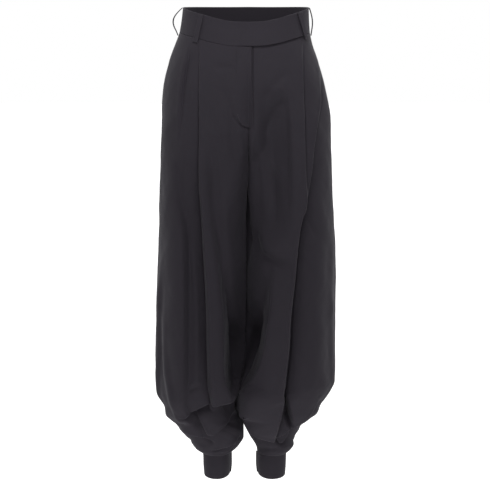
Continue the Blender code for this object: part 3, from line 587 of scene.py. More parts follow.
def add_fold(sheet, normal, fold, moved, slid):
    """Add one fold to how far the points of a sheet move outwards and slide along it."""
    reach = FOLD_REACH * max(fold.near, fold.far)
    chosen, signed, strength, square = near_path(sheet, normal, fold, reach)
    signed = signed * fold.proud
    over_by = fold.lean * strength**LEAN_POWER
    proud = 0.5 * (1 + np.tanh(signed / fold.edge * 2))
    near = np.exp(-((np.clip(signed, 0, None) / fold.near) ** SLOPE_POWER))
    far = np.exp(-((np.clip(-signed, 0, None) / fold.far) ** SLOPE_POWER))
    moved[chosen] += (fold.rise * near * proud - fold.dip * far * (1 - proud)) * strength
    under = np.exp(-(((signed + over_by - 0.5 * fold.edge + 1.5) / UNDER_WIDTH) ** 2))
    roll = np.exp(-(((signed - 0.9 * fold.edge) / (0.6 * fold.edge + 1)) ** 2))
    moved[chosen] += over_by * (ROLL_HEIGHT * roll - UNDER_DEPTH * under)
    # The lean fades quickly over the low side, and slowly back over the proud one.
    past = signed - 0.5 * fold.edge
    fade = np.where(past < 0, 0.8 * fold.edge + 0.6, 2 * fold.edge + 6)
    over = over_by * np.exp(-((past / fade) ** 2))
    shift = np.zeros((len(signed), 3))
    shift[:, [SEEN[fold.seen][0], 2]] = -square * fold.proud * over[:, None]
    slid[chosen] += shift


def ripples(sheet, leg):
    """The small unevenness at each point of a leg. Its waves wander, and are measured from the side seam."""
    reach = reach_across(sheet)
    from_side = reach - reach[:, BACK_COLUMNS - 1:BACK_COLUMNS]
    z, start = sheet[..., 2], RIPPLE_START[leg]
    height = np.zeros(sheet.shape[:2])
    for i, ripple in enumerate(RIPPLES):
        bent = from_side / ripple.across + 0.35 * np.sin(z / ripple.down * 2.3 + i)
        wave = np.sin(2 * pi * bent + start + i * 1.9) * np.sin(2 * pi * z / ripple.down + start * 2 + i)
        height += wave * ripple.height
    return height


def with_folds(sheet, leg):
    """The sheet of a leg with each fold, swell and ripple put in."""
    normal = outward(sheet)
    moved, fine = np.zeros((2, *sheet.shape[:2]))
    slid = np.zeros_like(sheet)
    for fold in FOLDS:
        if fold.leg == leg:
            add_fold(sheet, normal, fold, moved, slid)
    for swell in SWELLS:
        if swell.leg == leg:
            chosen, signed, strength, _ = near_path(sheet, normal, swell, SWELL_REACH * swell.width)
            kept = fine if swell.width < FINE_WIDTH else moved
            kept[chosen] += swell.height * strength * np.exp(-((signed / swell.width) ** 2))
    moved += ripples(sheet, leg)
    slid -= normal * (slid * normal).sum(axis=2, keepdims=True)
    bent = (normal * moved[..., None] + slid) * freedom(sheet, FOLDS_START, FOLDS_AT_BAND)[..., None]
    return sheet + bent + normal * (fine * freedom(sheet, FINE_START))[..., None]


Crowd = namedtuple("Crowd", "extra spread reach")
# How much closer the columns stand beside a sharp fold and beside a fine line, and over what width.
CROWD_AT_FOLD = Crowd(2.2, 11, 40)
CROWD_AT_LINE = Crowd(1.6, 6, 20)
SHARP_EDGE = 10
CROWD_LEVELS = 15


def closer_at_folds(sheet, leg):
    """How close together the columns of a leg stand, changing slowly from one level to the next."""
    normal = outward(sheet)
    steps = np.linalg.norm(np.diff(sheet, axis=1), axis=2)
    steps = np.concatenate([steps[:, :1], steps], axis=1)
    weight = np.ones(sheet.shape[:2])
    crowded = [(fold, CROWD_AT_FOLD) for fold in FOLDS if fold.leg == leg and fold.edge < SHARP_EDGE]
    crowded += [(swell, CROWD_AT_LINE) for swell in SWELLS if swell.leg == leg and swell.width < FINE_WIDTH]
    for item, crowd in crowded:
        chosen, signed, strength, _ = near_path(sheet, normal, item, crowd.reach)
        weight[chosen] += crowd.extra * strength**0.5 * np.exp(-((signed / crowd.spread) ** 2))
    half = CROWD_LEVELS // 2
    padded = np.pad(weight, ((half, half), (0, 0)), mode="edge")
    soft = np.ones(CROWD_LEVELS) / CROWD_LEVELS
    weight = np.stack([np.convolve(line, soft, mode="valid") for line in padded.T], axis=1)
    return weight * steps


def spread(weight, counts):
    """Places along each level from the side seam in, closer together where the weight is greater."""
    places, first = [], 0
    for run, count in zip(RUNS, counts):
        part = weight[:, first:first + run + 1]
        total = np.cumsum(0.5 * (part[:, 1:] + part[:, :-1]), axis=1)
        total = np.concatenate([np.zeros((len(part), 1)), total], axis=1)
        at = np.linspace(0, 1, count + 1)[:-1]
        places.append(first + np.stack([np.interp(at * row[-1], row, np.arange(run + 1)) for row in total]))
        first += run
    return np.concatenate(places + [np.full((len(weight), 1), first)], axis=1)


Pocket = namedtuple("Pocket", "z right left share")
# The dark hollow between the lower legs: where the cloth of each leg's front turns in, and what share of the
# way back to the hollow's floor it is pressed.
POCKET = [
    Pocket(-530, -44, 62, 0.0), Pocket(-590, -46, 54, 0.15), Pocket(-648, -48, 47, 0.44),
    Pocket(-711, -49, 40, 0.95), Pocket(-740, -49, 31, 1.0), Pocket(-775, -47, 16, 1.0),
    Pocket(-794, -42, 2, 0.96), Pocket(-808, -38, -6, 0.0),
]
POCKET_FLOOR_Y = -2.0
POCKET_TURN = 15.0


def with_pocket(sheet, leg):
    """The sheet of a leg with its inner front corner pressed straight back where the hollow lies."""
    across, depth, z = sheet[..., 0], sheet[..., 1], sheet[..., 2]
    inward = (across - column(POCKET, leg, z)) * (1 if leg == "right" else -1)
    share = column(POCKET, "share", z) * ease(inward, 0, POCKET_TURN)
    room = np.clip(POCKET_FLOOR_Y - depth, 0, None)
    return np.stack([across, depth + room * share, z], axis=2)


LEG_FORM = {}
for leg in LEGS:
    dense = with_pocket(np.stack([level_row(leg, z) for z in LEVELS]), leg)
    weight = closer_at_folds(dense, leg)
    back_places = ACROSS - 1 - spread(weight[:, ACROSS - 1::-1], BACK_RUNS)[:, ::-1]
    front_places = ACROSS - 1 + spread(weight[:, ACROSS - 1:], FRONT_RUNS)
    places = np.concatenate([back_places, front_places[:, 1:]], axis=1)
    LEG_FORM[leg] = with_folds(at_places(dense, places), leg)

# ------------------------------------------------------------------------------------------------------------
# The front and back panels.
# Each is one piece of wool gabardine, dark charcoal with a trace of plum, its fine twill line running up to
# the right. Its edges are turned in and sewn to the next panel, so that each seam lies in a shallow groove.
# ------------------------------------------------------------------------------------------------------------
MM = 0.001
CLOTH_THICK = 1.2
SEAM_GROOVE = 0.7
GROOVE_WIDTH = 2.6
# No groove is sunk low at the centre, where the two legs meet. It fades out over these distances.
PLAIN_OVER_X = (20.0, 40.0)
PLAIN_OVER_Z = (-180.0, -140.0)
WOOL_DARK = (0.0267, 0.0229, 0.0298)
WOOL_LIGHT = (0.0372, 0.0325, 0.0418)
WOOL_ROUGHNESS = 0.82
TWILL_PITCH = 1.1
YARN_PITCH = 0.6


class Strand:
    """One value in a material. Arithmetic on it adds Math nodes, and add() brings in any other node."""

    def __init__(self, tree, socket=None):
        self.tree = tree
        self.socket = socket

    def add(self, kind, settings, inputs, out=0):
        """A node of a kind, its settings made first, then its sockets filled with values or strands."""
        node = self.tree.nodes.new(kind)
        for name, value in settings.items():
            setattr(node, name, value)
        for name, value in inputs.items():
            if isinstance(value, Strand):
                self.tree.links.new(value.socket, node.inputs[name])
            else:
                node.inputs[name].default_value = value
        return Strand(self.tree, node.outputs[out])

    def feed(self, node, name):
        """Lead this strand into a socket of a shader."""
        self.tree.links.new(self.socket, node.inputs[name])

    def math(self, operation, first, second=0.0):
        return self.add("ShaderNodeMath", {"operation": operation}, {0: first, 1: second})

    def __add__(self, other):
        return self.math("ADD", self, other)

    def __sub__(self, other):
        return self.math("SUBTRACT", self, other)

    def __mul__(self, other):
        return self.math("MULTIPLY", self, other)

    def __rsub__(self, other):
        return self.math("SUBTRACT", other, self)

    __radd__ = __add__
    __rmul__ = __mul__

    def sine(self):
        return self.math("SINE", self)

    def blend(self, low, high):
        """A colour between two, by this strand: inputs 6 and 7 and output 2 are a Mix node's colours."""
        return self.add("ShaderNodeMix", {"data_type": "RGBA"}, {0: self, 6: (*low, 1), 7: (*high, 1)}, out=2)


def noise(start, place, scale, detail, roughness=0.5):
    """Soft mottling at a place, with about as many spots to the metre as its scale."""
    return start.add("ShaderNodeTexNoise", {}, {
        "Vector": place, "Scale": scale, "Detail": detail, "Roughness": roughness})


def wool(name, relief):
    """Fine wool twill: diagonal lines of yarn, a grey-and-plum melange, and mottling from pressing."""
    made = bpy.data.materials.new(name)
    made.use_nodes = True
    shader = made.node_tree.nodes["Principled BSDF"]
    start = Strand(made.node_tree)
    flat = start.add("ShaderNodeUVMap", {"uv_map": "cut"}, {})
    across = start.add("ShaderNodeSeparateXYZ", {}, {0: flat}, out="X")
    down = start.add("ShaderNodeSeparateXYZ", {}, {0: flat}, out="Y")
    fibre = noise(start, flat, 1400.0, 3.0, 0.6)
    mottle = noise(start, flat, 26.0, 4.0, 0.55)
    cloud = noise(start, flat, 7.0, 2.0)
    line = ((across + down * 0.5) * (2 * pi / (TWILL_PITCH * MM)) + fibre * 1.6).sine()
    yarn = ((across * 0.5 - down) * (2 * pi / (YARN_PITCH * MM)) + fibre * 2.2).sine()
    weave = line * 0.35 + yarn * 0.15 + 0.5
    shade = weave * 0.30 + fibre * 0.34 + mottle * 0.22 + cloud * 0.30 - 0.08
    shade.blend(WOOL_DARK, WOOL_LIGHT).feed(shader, "Base Color")
    (mottle * 0.16 + (WOOL_ROUGHNESS - 0.08)).feed(shader, "Roughness")
    height = weave * 0.6 + fibre * 0.8 + mottle * 0.7
    bump = start.add("ShaderNodeBump", {}, {"Height": height, "Strength": relief, "Distance": 0.0006})
    bump.feed(shader, "Normal")
    shader.inputs["Specular IOR Level"].default_value = 0.22
    shader.inputs["Sheen Weight"].default_value = 0.06
    shader.inputs["Sheen Roughness"].default_value = 0.42
    shader.inputs["Sheen Tint"].default_value = (0.93, 0.92, 1.0, 1)
    return made


def cloth_piece(name, points, faces, material, cut=None):
    """A piece on the one body, from points in millimetres, faces, and each point's place in the flat cut."""
    mesh = bpy.data.meshes.new(name)
    mesh.from_pydata((points * MM).tolist(), [], faces)
    if cut is not None:
        layer = mesh.uv_layers.new(name="cut")
        layer.data.foreach_set("uv", (cut[np.reshape(faces, -1)] * MM).reshape(-1))
    mesh.shade_smooth()
    mesh.materials.append(material)
    piece = bpy.data.objects.new(name, mesh)
    bpy.context.scene.collection.objects.link(piece)
    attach(piece, "root")
    return piece


def grid_faces(index):
    """The four-sided faces between the points of a grid, all turned one way."""
    return np.stack([index[:-1, :-1], index[1:, :-1], index[1:, 1:], index[:-1, 1:]], axis=-1).reshape(-1, 4)


def sewn(name, sheet, cut, material, thick=0.0):
    """A piece of cloth from a grid of points and its flat cut, given a thickness on its inner side."""
    rows, columns = sheet.shape[:2]
    faces = grid_faces(np.arange(rows * columns).reshape(rows, columns))
    facing = np.cross(np.diff(sheet, axis=1), np.gradient(sheet, axis=0)[:, :-1])
    if (facing * outward(sheet)[:, :-1]).sum() > 0:
        faces = faces[:, ::-1]
    piece = cloth_piece(name, sheet.reshape(-1, 3), faces.tolist(), material, cut.reshape(-1, 2))
    if thick:
        body = piece.modifiers.new("cloth", "SOLIDIFY")
        body.thickness = thick * MM
        body.offset = -1
    return piece


def flat_cut(sheet):
    """Where each point of a sheet lay in the flat cut: across from the middle, and down."""
    across = reach_across(sheet)
    return np.stack([across - across[:, -1:] / 2, sheet[..., 2]], axis=2)


def seam_groove(sheet, normal):
    """The sheet with its side edges sunk into the seam's groove."""
    plain = (1 - ease(np.abs(sheet[..., 0]), *PLAIN_OVER_X)) * (1 - ease(sheet[..., 2], *PLAIN_OVER_Z))
    groove = SEAM_GROOVE * np.exp(-((from_seams(sheet) / GROOVE_WIDTH) ** 2)) * (1 - plain)
    return sheet - normal * groove[..., None]


Panel = namedtuple("Panel", "leg side flat area")
# Each panel's flat cut, its widest width by its length and its area in square metres.
PANELS = [
    Panel("right", "front", (0.44, 0.92), 0.31),
    Panel("left", "front", (0.44, 0.92), 0.31),
    Panel("right", "back", (0.42, 0.94), 0.30),
    Panel("left", "back", (0.42, 0.94), 0.30),
]
WOOL = wool("dark_wool", relief=0.16)
for panel in PANELS:
    form = LEG_FORM[panel.leg]
    normal = outward(form)
    kept = slice(BACK_COLUMNS - 1, None) if panel.side == "front" else slice(0, BACK_COLUMNS)
    sheet = seam_groove(form[:, kept], normal[:, kept])
    piece = sewn(f"{panel.leg}_{panel.side}", sheet, flat_cut(sheet), WOOL, CLOTH_THICK)
    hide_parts(f"{panel.side}_{panel.leg}")

# ------------------------------------------------------------------------------------------------------------
# The waistband.
# One straight strip of the same wool, doubled over a firm interlining, sewn round the waist. Its end crosses
# centre front and lies over its start, hooked behind, so that end's lower edge throws a shadow.
# ------------------------------------------------------------------------------------------------------------
BAND_TOP_Z = -12.0
BAND_THICK = 2.4
SEAM_GAP = 0.3
# Places round the waist are counted from centre back, a quarter at a time.
QUARTER = 160
CENTRE_FRONT = 2 * QUARTER
PER_DEGREE = QUARTER / 90
BAND_START = CENTRE_FRONT + 3
LAP_END_TURN = 62
LAP_RAMP = 18
BAND_COLUMNS = 420
BAND_ROWS = 22
BAND_ROUND = 1.1
ROUND_ROWS = 4


def waist_ring(z):
    """The closed ring round the waist, at height z at centre front, from centre back over the right side."""
    quarters = []
    for leg in LEGS:
        row = level_row(leg, z)
        for part in (row[:ACROSS], row[ACROSS - 1:]):
            along = lengths_along(part)
            at = np.linspace(0, along[-1], QUARTER + 1)
            quarters.append(np.stack([np.interp(at, along, part[:, axis]) for axis in range(3)], axis=1))
    right_back, right_front, left_back, left_front = quarters
    ring = np.concatenate([right_back[:-1], right_front[:-1], left_front[::-1][:-1], left_back[::-1]])
    ring[-1] = ring[0]
    return ring


def closed_normal(rings):
    """Outward normals of closed rings, the same where each ring meets itself."""
    wide = np.concatenate([rings[:, -6:-1], rings, rings[:, 1:6]], axis=1)
    return outward(wide)[:, 5:-5]


def lapped(rings, start, stop, ramp, layer, columns):
    """Points and normals of a strip wound round closed rings, its end lifted one layer over its start.

    The lift grows over a ramp of places, and is full two places before the end comes to the start.
    """
    period = rings.shape[1] - 1
    normal = closed_normal(rings)
    places = np.linspace(start, stop, columns)
    over = layer * ease(places, start + period - ramp, start + period - 2)
    wrapped = np.repeat((places % period)[None], len(rings), axis=0)
    out = at_places(normal, wrapped)
    return at_places(rings, wrapped) + out * over[None, :, None], out


def thick_strip(name, sheet, normal, thick, rounding):
    """A strip of doubled cloth as one closed skin: outer face, inner face, and rounded edges all round."""
    rows, columns = sheet.shape[:2]
    down = lengths_along(sheet[:, columns // 2])
    along = lengths_along(sheet[rows // 2])
    from_edge = np.minimum(np.minimum(down, down[-1] - down)[:, None], np.minimum(along, along[-1] - along))
    depth = rounding * (1 - np.sqrt(1 - (1 - np.clip(from_edge / rounding, 0, 1)) ** 2))[..., None]
    faces_out, faces_in = sheet - normal * depth, sheet - normal * (thick - depth)
    index = np.arange(rows * columns).reshape(rows, columns)
    rim = np.concatenate([index[0, :], index[1:, -1], index[-1, -2::-1], index[-2:0:-1, 0]])
    under = rim + rows * columns
    faces = np.concatenate([
        grid_faces(index)[:, [0, 3, 2, 1]],
        grid_faces(index + rows * columns)[:, [1, 2, 3, 0]],
        np.stack([np.roll(rim, -1), rim, under, np.roll(under, -1)], axis=1),
    ])
    points = np.concatenate([faces_out.reshape(-1, 3), faces_in.reshape(-1, 3)])
    corners = points[faces]
    volume = (corners[:, 0] * np.cross(corners[:, 1], corners[:, 2])).sum()
    volume += (corners[:, 0] * np.cross(corners[:, 2], corners[:, 3])).sum()
    if volume < 0:
        faces = faces[:, ::-1]
    cut = np.stack(np.broadcast_arrays(along[None], -down[:, None]), axis=2).reshape(-1, 2)
    return cloth_piece(name, points, faces.tolist(), BAND_WOOL, np.concatenate([cut, cut]))


def edge_rows(top, bottom, rounding, count):
    """Heights from the top of a strip to its bottom, closer together where its edges are rounded."""
    close = rounding * (1 - np.cos(np.linspace(0, pi / 2, ROUND_ROWS)))
    middle = np.linspace(top - rounding, bottom + rounding, count - 2 * (ROUND_ROWS - 1))
    return np.concatenate([top - close[:-1], middle, (bottom + close[:-1])[::-1]])


BAND_WOOL = wool("band_wool", relief=0.13)
band_heights = edge_rows(BAND_TOP_Z, BAND_SEAM_Z + SEAM_GAP, BAND_ROUND, BAND_ROWS)
band_rings = np.stack([waist_ring(z) for z in band_heights])
band_end = 3 * CENTRE_FRONT + LAP_END_TURN * PER_DEGREE
sheet, normal = lapped(band_rings, BAND_START, band_end, LAP_RAMP, BAND_THICK + SEAM_GAP, BAND_COLUMNS)
# It bows in and out a little, most at its middle, and its lower edge waves over the pleats.
length = lengths_along(sheet[BAND_ROWS // 2])
drop = np.linspace(0, 1, BAND_ROWS)[:, None]
wave = 0.35 * np.sin(length / 31)[None] * np.sin(pi * drop) + 0.25 * np.sin(length / 13 + 1)[None] * drop
band = thick_strip("band", sheet + normal * wave[..., None], normal, BAND_THICK, BAND_ROUND)
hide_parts("waistband")

# ------------------------------------------------------------------------------------------------------------
# The fly.
# A layer of the right front that closes past the centre over the zip. It is one with the panel on its inner
# side; its outer edge is free, and a J of stitches holds its foot.
# ------------------------------------------------------------------------------------------------------------
FLY_EDGE_X = 11.5
FLY_COLUMNS = 16
# It is sunk a little into the panel on its inner side, stands off at its free edge, and bulges at its foot.
FLY_SUNK = 0.35
FLY_STAND = 1.7
FLY_STAND_OVER_X = (-22, 8)
FLY_BULGE = 1.3
FLY_BULGE_OVER_X = (-10, 12)
FLY_BULGE_OVER_Z = (-200, -220)
J_TOP_Z = -200.0
J_FOOT_Z = -231.5
J_IN = 2.2
J_RIDE = 0.12
J_POINTS = 40
THREAD_DARK = (0.016, 0.014, 0.018)
THREAD_LIGHT = (0.030, 0.027, 0.033)
THREAD_WIDTH = 0.32
STITCH_LENGTH = 2.6
STITCH_GAP = 0.7
STITCH_RINGS = 5
STITCH_SIDES = 6
Fly = namedtuple("Fly", "z left")
# The fly's inner edge at each height: straight, then curving out to the edge in a J.
FLY_SHAPE = [
    Fly(-64.4, -20), Fly(-130, -20), Fly(-195, -20), Fly(-208, -19.4), Fly(-216, -17.4), Fly(-223, -13.6),
    Fly(-228, -9.2), Fly(-231.5, -4.2), Fly(-233.8, 1.5), Fly(-234.8, 7.5),
]
FLY_STRAIGHT_Z = -205.0
FLY_CURVE_Z = -208.0


def fly_left(z):
    """The fly's inner edge at heights z."""
    return np.interp(-z, [-row.z for row in FLY_SHAPE], [row.left for row in FLY_SHAPE])


def front_depth(x, z):
    """How far forward the two fronts reach at places near the centre."""
    right, left = LEG_FORM["right"][:, BACK_COLUMNS:], LEG_FORM["left"][:, :BACK_COLUMNS:-1]
    centre = np.concatenate([right, left], axis=1)
    level = -centre[..., 2].mean(axis=1)
    found = np.zeros(x.shape)
    for at in np.ndindex(x.shape):
        below = np.clip(np.searchsorted(level, -z[at]), 1, len(level) - 1)
        above = below - 1
        high, low = (np.interp(x[at], centre[n, :, 0], centre[n, :, 1]) for n in (above, below))
        share = np.clip((-z[at] - level[above]) / (level[below] - level[above]), 0, 1)
        found[at] = high + (low - high) * share
    return found


def on_fly(x, z):
    """Points of the fly's outer face."""
    bulge = FLY_BULGE * ease(z, *FLY_BULGE_OVER_Z) * (1 - ease(x, *FLY_BULGE_OVER_X))
    stand = FLY_STAND * ease(x, *FLY_STAND_OVER_X) - FLY_SUNK + bulge
    return np.stack([x, front_depth(x, z) - stand, z], axis=-1)


def thread_run(points, out, ride_height):
    """Single stitches laid along a line on the cloth, each a small rounded bar of thread."""
    along = lengths_along(points)
    starts = np.arange(STITCH_GAP, along[-1] - STITCH_LENGTH, STITCH_LENGTH + STITCH_GAP)
    angle = np.linspace(0, 2 * pi, STITCH_SIDES, endpoint=False)[None, :, None]
    swell = np.sin(np.linspace(0.12 * pi, 0.88 * pi, STITCH_RINGS))[:, None, None]
    bars, faces = [], []
    for begin in starts:
        at = begin + STITCH_LENGTH * np.linspace(0, 1, STITCH_RINGS)
        line = np.stack([np.interp(at, along, points[:, k]) for k in range(3)], axis=1)
        up = np.stack([np.interp(at, along, out[:, k]) for k in range(3)], axis=1)
        side = np.cross(np.gradient(line, axis=0), up)
        side /= np.linalg.norm(side, axis=1, keepdims=True)
        round_line = side[:, None] * np.cos(angle) + up[:, None] * np.sin(angle)
        raised = line[:, None] + up[:, None] * (ride_height * swell - 0.1)
        bars.append((raised + round_line * (THREAD_WIDTH / 2 * (0.55 + 0.45 * swell))).reshape(-1, 3))
        index = (len(bars) - 1) * STITCH_RINGS * STITCH_SIDES + np.arange(STITCH_RINGS * STITCH_SIDES)
        index = index.reshape(STITCH_RINGS, STITCH_SIDES)
        closed = np.concatenate([index, index[:, :1]], axis=1)
        faces += grid_faces(closed)[:, [0, 3, 2, 1]].tolist()
        faces += [index[0, ::-1].tolist(), index[-1].tolist()]
    return np.concatenate(bars), faces


def thread(name):
    """Matt polyester thread, twisted, a shade darker than the cloth."""
    made = bpy.data.materials.new(name)
    made.use_nodes = True
    shader = made.node_tree.nodes["Principled BSDF"]
    start = Strand(made.node_tree)
    place = start.add("ShaderNodeTexCoord", {}, {}, out="Object")
    ply = noise(start, place, 2600.0, 2.0)
    ply.blend(THREAD_DARK, THREAD_LIGHT).feed(shader, "Base Color")
    bump = start.add("ShaderNodeBump", {}, {"Height": ply, "Strength": 0.4, "Distance": 0.0002})
    bump.feed(shader, "Normal")
    shader.inputs["Roughness"].default_value = 0.55
    shader.inputs["Sheen Weight"].default_value = 0.2
    return made


def stitching(name, runs):
    """One piece made of several runs of stitches."""
    points, faces, count = [], [], 0
    for run_points, run_faces in runs:
        points.append(run_points)
        faces += [[i + count for i in face] for face in run_faces]
        count += len(run_points)
    return cloth_piece(name, np.concatenate(points), faces, THREAD)


THREAD = thread("sewing_thread")
fly_straight = np.linspace(FLY_SHAPE[0].z, FLY_STRAIGHT_Z, 44)
fly_curve = np.linspace(FLY_CURVE_Z, FLY_SHAPE[-1].z, 20)
fly_z = np.concatenate([fly_straight, fly_curve])[:, None]
fly_x = fly_left(fly_z) + (FLY_EDGE_X - fly_left(fly_z)) * np.linspace(0, 1, FLY_COLUMNS)
fly_z = np.broadcast_to(fly_z, fly_x.shape)
fly = sewn("fly_layer", on_fly(fly_x, fly_z), np.stack([fly_x, fly_z], axis=2), WOOL)
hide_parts("fly")
j_z = np.linspace(J_TOP_Z, J_FOOT_Z, J_POINTS)
j_line = on_fly(fly_left(j_z) + J_IN, j_z)
j_stitches = stitching("fly_stitches", [thread_run(j_line, np.tile([0.0, -1.0, 0.0], (J_POINTS, 1)), J_RIDE)])

# ------------------------------------------------------------------------------------------------------------
# The belt loops.
# Five narrow strips of the same wool, their edges turned in behind and topstitched. Each is turned under and
# sewn at the top of the band and again just below its seam, and the side ones stand off the band in a bow.
# ------------------------------------------------------------------------------------------------------------
LOOP_WIDTH = 12.0
LOOP_THICK = 1.8
LOOP_ROUND = 0.7
LOOP_TOP_Z = -13.0
LOOP_FOOT_Z = -73.0
LOOP_RINGS_END_Z = -92.0
LOOP_RINGS = 34
LOOP_ROWS = 40
LOOP_COLUMNS = 16
EDGE_STITCH_RIDE = 0.14
TACK_RIDE = 0.2
Loop = namedtuple("Loop", "node top_turn foot_turn stand_off bulge")
LOOPS = [
    Loop("loop_front_right", -48, -50, 0.4, 1.5),
    Loop("loop_front_left", 56, 64, 3.4, 1.2),
    Loop("loop_side_right", -92, -90, 0.4, 17.0),
    Loop("loop_side_left", 92, 90, 0.4, 6.0),
    Loop("loop_back", 180, 180, 0.4, 2.5),
]
# The places down a loop, closer together at its ends, and the places across it, closer at its edges.
loop_down = 1 - np.cos(np.linspace(0.06, 0.94, LOOP_ROWS) * pi)
loop_down = (loop_down - loop_down[0]) / (loop_down[-1] - loop_down[0])
loop_across = np.linspace(-1, 1, LOOP_COLUMNS)
loop_across = np.sign(loop_across) * np.sin(np.abs(loop_across) * pi / 2) ** 0.8 * LOOP_WIDTH / 2
# The rings round the waist are wound twice, so that the loop at centre back has cloth on both its sides.
loop_heights = np.linspace(BAND_TOP_Z, LOOP_RINGS_END_Z, LOOP_RINGS)
rings = np.stack([waist_ring(z) for z in loop_heights])
rings_out = closed_normal(rings)
twice = np.concatenate([rings, rings[:, 1:]], axis=1)
twice_out = np.concatenate([rings_out, rings_out[:, 1:]], axis=1)
for loop in LOOPS:
    name = loop.node.replace("loop_", "") + "_belt_loop"
    sheet, normal = np.zeros((2, LOOP_ROWS, LOOP_COLUMNS, 3))
    for i, t in enumerate(loop_down):
        middle = CENTRE_FRONT + (loop.top_turn + (loop.foot_turn - loop.top_turn) * t) * PER_DEGREE
        spacing = np.linalg.norm(twice[0, int(middle) + 1] - twice[0, int(middle)])
        places = np.repeat((middle + loop_across / spacing)[None], len(twice), axis=0)
        line, out = at_places(twice, places), at_places(twice_out, places)
        z = LOOP_TOP_Z + (LOOP_FOOT_Z - LOOP_TOP_Z) * t
        stand = loop.stand_off + loop.bulge * sin(pi * t) + LOOP_THICK
        for k in range(LOOP_COLUMNS):
            point = np.array([np.interp(-z, -loop_heights, line[:, k, axis]) for axis in range(3)])
            normal[i, k] = [np.interp(-z, -loop_heights, out[:, k, axis]) for axis in range(3)]
            sheet[i, k] = point + normal[i, k] * stand
    piece = thick_strip(name, sheet, normal, LOOP_THICK, LOOP_ROUND)
    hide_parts(loop.node)
    # Two lines of stitches along the edges, and a tack across each end.
    runs = [thread_run(sheet[2:-2, k], normal[2:-2, k], EDGE_STITCH_RIDE) for k in (3, -4)]
    runs += [thread_run(sheet[row, 2:-2], normal[row, 2:-2], TACK_RIDE) for row in (3, -4)]
    edging = stitching(f"{name}_stitches", runs)

# ------------------------------------------------------------------------------------------------------------
# The cuffs.
# Plain bands of doubled wool that hold the gathered legs in at the ankle. Each closes on its inner side, one
# end over the other, and a row of stitches runs just above the hem.
# ------------------------------------------------------------------------------------------------------------
HEM_Z = -1008.0
CUFF_THICK = 2.2
CUFF_ROUND = 1.0
CUFF_ROWS = 26
CUFF_COLUMNS = 190
CUFF_START = 4
CUFF_LAP = 36
CUFF_RAMP = 25
HEM_TILT = 0.15
TILT_ABOUT_Y = 7.0
HEM_STITCH_UP = 3.0
for leg in LEGS:
    heights = edge_rows(CUFF_SEAM_Z - SEAM_GAP, HEM_Z, CUFF_ROUND, CUFF_ROWS)
    rings = np.stack([level_row(leg, z) for z in heights])
    drop = ((heights[0] - heights) / (heights[0] - heights[-1]))[:, None]
    rings[..., 2] += drop * HEM_TILT * (rings[..., 1] - TILT_ABOUT_Y)
    rings[:, -1] = rings[:, 0]
    cuff_end = rings.shape[1] - 1 + CUFF_LAP
    sheet, normal = lapped(rings, CUFF_START, cuff_end, CUFF_RAMP, CUFF_THICK + SEAM_GAP, CUFF_COLUMNS)
    length = lengths_along(sheet[CUFF_ROWS // 2])[None]
    wave = 0.5 * np.sin(length / 17 + 1) * drop + 0.4 * np.sin(length / 9) * (1 - drop)
    sheet = sheet + normal * wave[..., None]
    cuff = thick_strip(f"{leg}_cuff", sheet, normal, CUFF_THICK, CUFF_ROUND)
    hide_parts(f"cuff_{leg}")
    row = np.argmin(np.abs(heights - (HEM_Z + HEM_STITCH_UP)))
    run = thread_run(sheet[row, 2:-2], normal[row, 2:-2], EDGE_STITCH_RIDE)
    hem = stitching(f"{leg}_cuff_stitches", [run])

# ------------------------------------------------------------------------------------------------------------
# The studio.
# A plain pale floor under a white surround that is bright behind the trousers and dark before them, one wide
# soft light high in front, and a low card that lifts the ankles. The camera stands a little above the hips.
# ------------------------------------------------------------------------------------------------------------
FLOOR_Z = -1.16
FLOOR_HALF = 60.0
FLOOR_COLOUR = (0.8, 0.8, 0.8, 1)
FLOOR_GLOW = 0.8
SURROUND_FRONT = 0.0
SURROUND_BEHIND = 1.4
CAMERA_DISTANCE = 3.5
CAMERA_DOWN = 6.0
CAMERA_AIM = (-0.0022, 0.0, -0.495)
HALF_SEEN = 0.539
SENSOR_WIDTH = 36
Lamp = namedtuple("Lamp", "name place aim width height power")
LAMPS = [
    Lamp("top_softbox", (0, -1.05, 0.75), (0, 0, -0.2), 1.2, 0.8, 13),
    Lamp("low_card", (0, -0.36, -1.14), (0, 0, -0.98), 1.0, 0.3, 1.2),
]

pale = bpy.data.materials.new("pale_floor")
pale.use_nodes = True
surface = pale.node_tree.nodes["Principled BSDF"]
surface.inputs["Base Color"].default_value = FLOOR_COLOUR
surface.inputs["Roughness"].default_value = 0.9
surface.inputs["Specular IOR Level"].default_value = 0.0
surface.inputs["Emission Strength"].default_value = FLOOR_GLOW
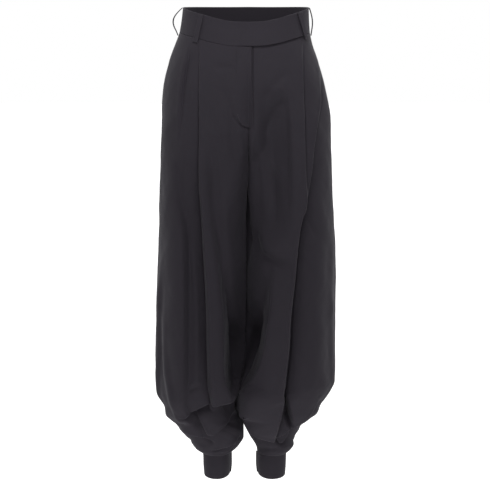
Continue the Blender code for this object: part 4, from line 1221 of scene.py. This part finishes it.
# The floor's glow is for the camera alone, and lights nothing.
Strand(pale.node_tree).add("ShaderNodeLightPath", {}, {}, out="Is Camera Ray").feed(surface, "Emission Color")
floor_mesh = bpy.data.meshes.new("floor")
corners = [(-1, -1), (1, -1), (1, 1), (-1, 1)]
floor_mesh.from_pydata([(x * FLOOR_HALF, y * FLOOR_HALF, FLOOR_Z) for x, y in corners], [], [(0, 1, 2, 3)])
floor_mesh.materials.append(pale)
floor = bpy.data.objects.new("floor", floor_mesh)
bpy.context.scene.collection.objects.link(floor)

world = bpy.data.worlds.new("white_surround")
world.use_nodes = True
background = world.node_tree.nodes["Background"]
start = Strand(world.node_tree)
direction = start.add("ShaderNodeTexCoord", {}, {}, out="Generated")
behind = start.add("ShaderNodeSeparateXYZ", {}, {0: direction}, out="Y")
share = start.add("ShaderNodeMapRange", {"interpolation_type": "SMOOTHSTEP"}, {
    "Value": behind, "From Min": -0.5, "From Max": 0.5, "To Min": SURROUND_FRONT, "To Max": SURROUND_BEHIND})
seen = start.add("ShaderNodeLightPath", {}, {}, out="Is Camera Ray")
(share * (1 - seen) + seen).feed(background, "Strength")
background.inputs["Color"].default_value = (1, 1, 1, 1)
bpy.context.scene.world = world
bpy.context.scene.view_settings.view_transform = "Standard"


def aimed(thing, place, aim):
    """Stand a lamp or the camera at a place and turn it to look at another."""
    away = np.array(place) - np.array(aim)
    thing.location = place
    thing.rotation_euler = (np.arctan2(np.hypot(away[0], away[1]), away[2]), 0, np.arctan2(away[0], -away[1]))


for lamp in LAMPS:
    light = bpy.data.lights.new(lamp.name, "AREA")
    light.shape = "RECTANGLE"
    light.size, light.size_y = lamp.width, lamp.height
    light.energy = lamp.power
    holder = bpy.data.objects.new(lamp.name, light)
    aimed(holder, lamp.place, lamp.aim)
    holder.visible_camera = False
    bpy.context.scene.collection.objects.link(holder)

lens = bpy.data.cameras.new("camera")
lens.sensor_width = SENSOR_WIDTH
lens.lens = SENSOR_WIDTH / 2 * CAMERA_DISTANCE / HALF_SEEN
camera = bpy.data.objects.new("camera", lens)
back = CAMERA_DISTANCE * cos(radians(CAMERA_DOWN))
up = CAMERA_DISTANCE * sin(radians(CAMERA_DOWN))
aimed(camera, (CAMERA_AIM[0], CAMERA_AIM[1] - back, CAMERA_AIM[2] + up), CAMERA_AIM)
bpy.context.scene.collection.objects.link(camera)
bpy.context.scene.camera = camera
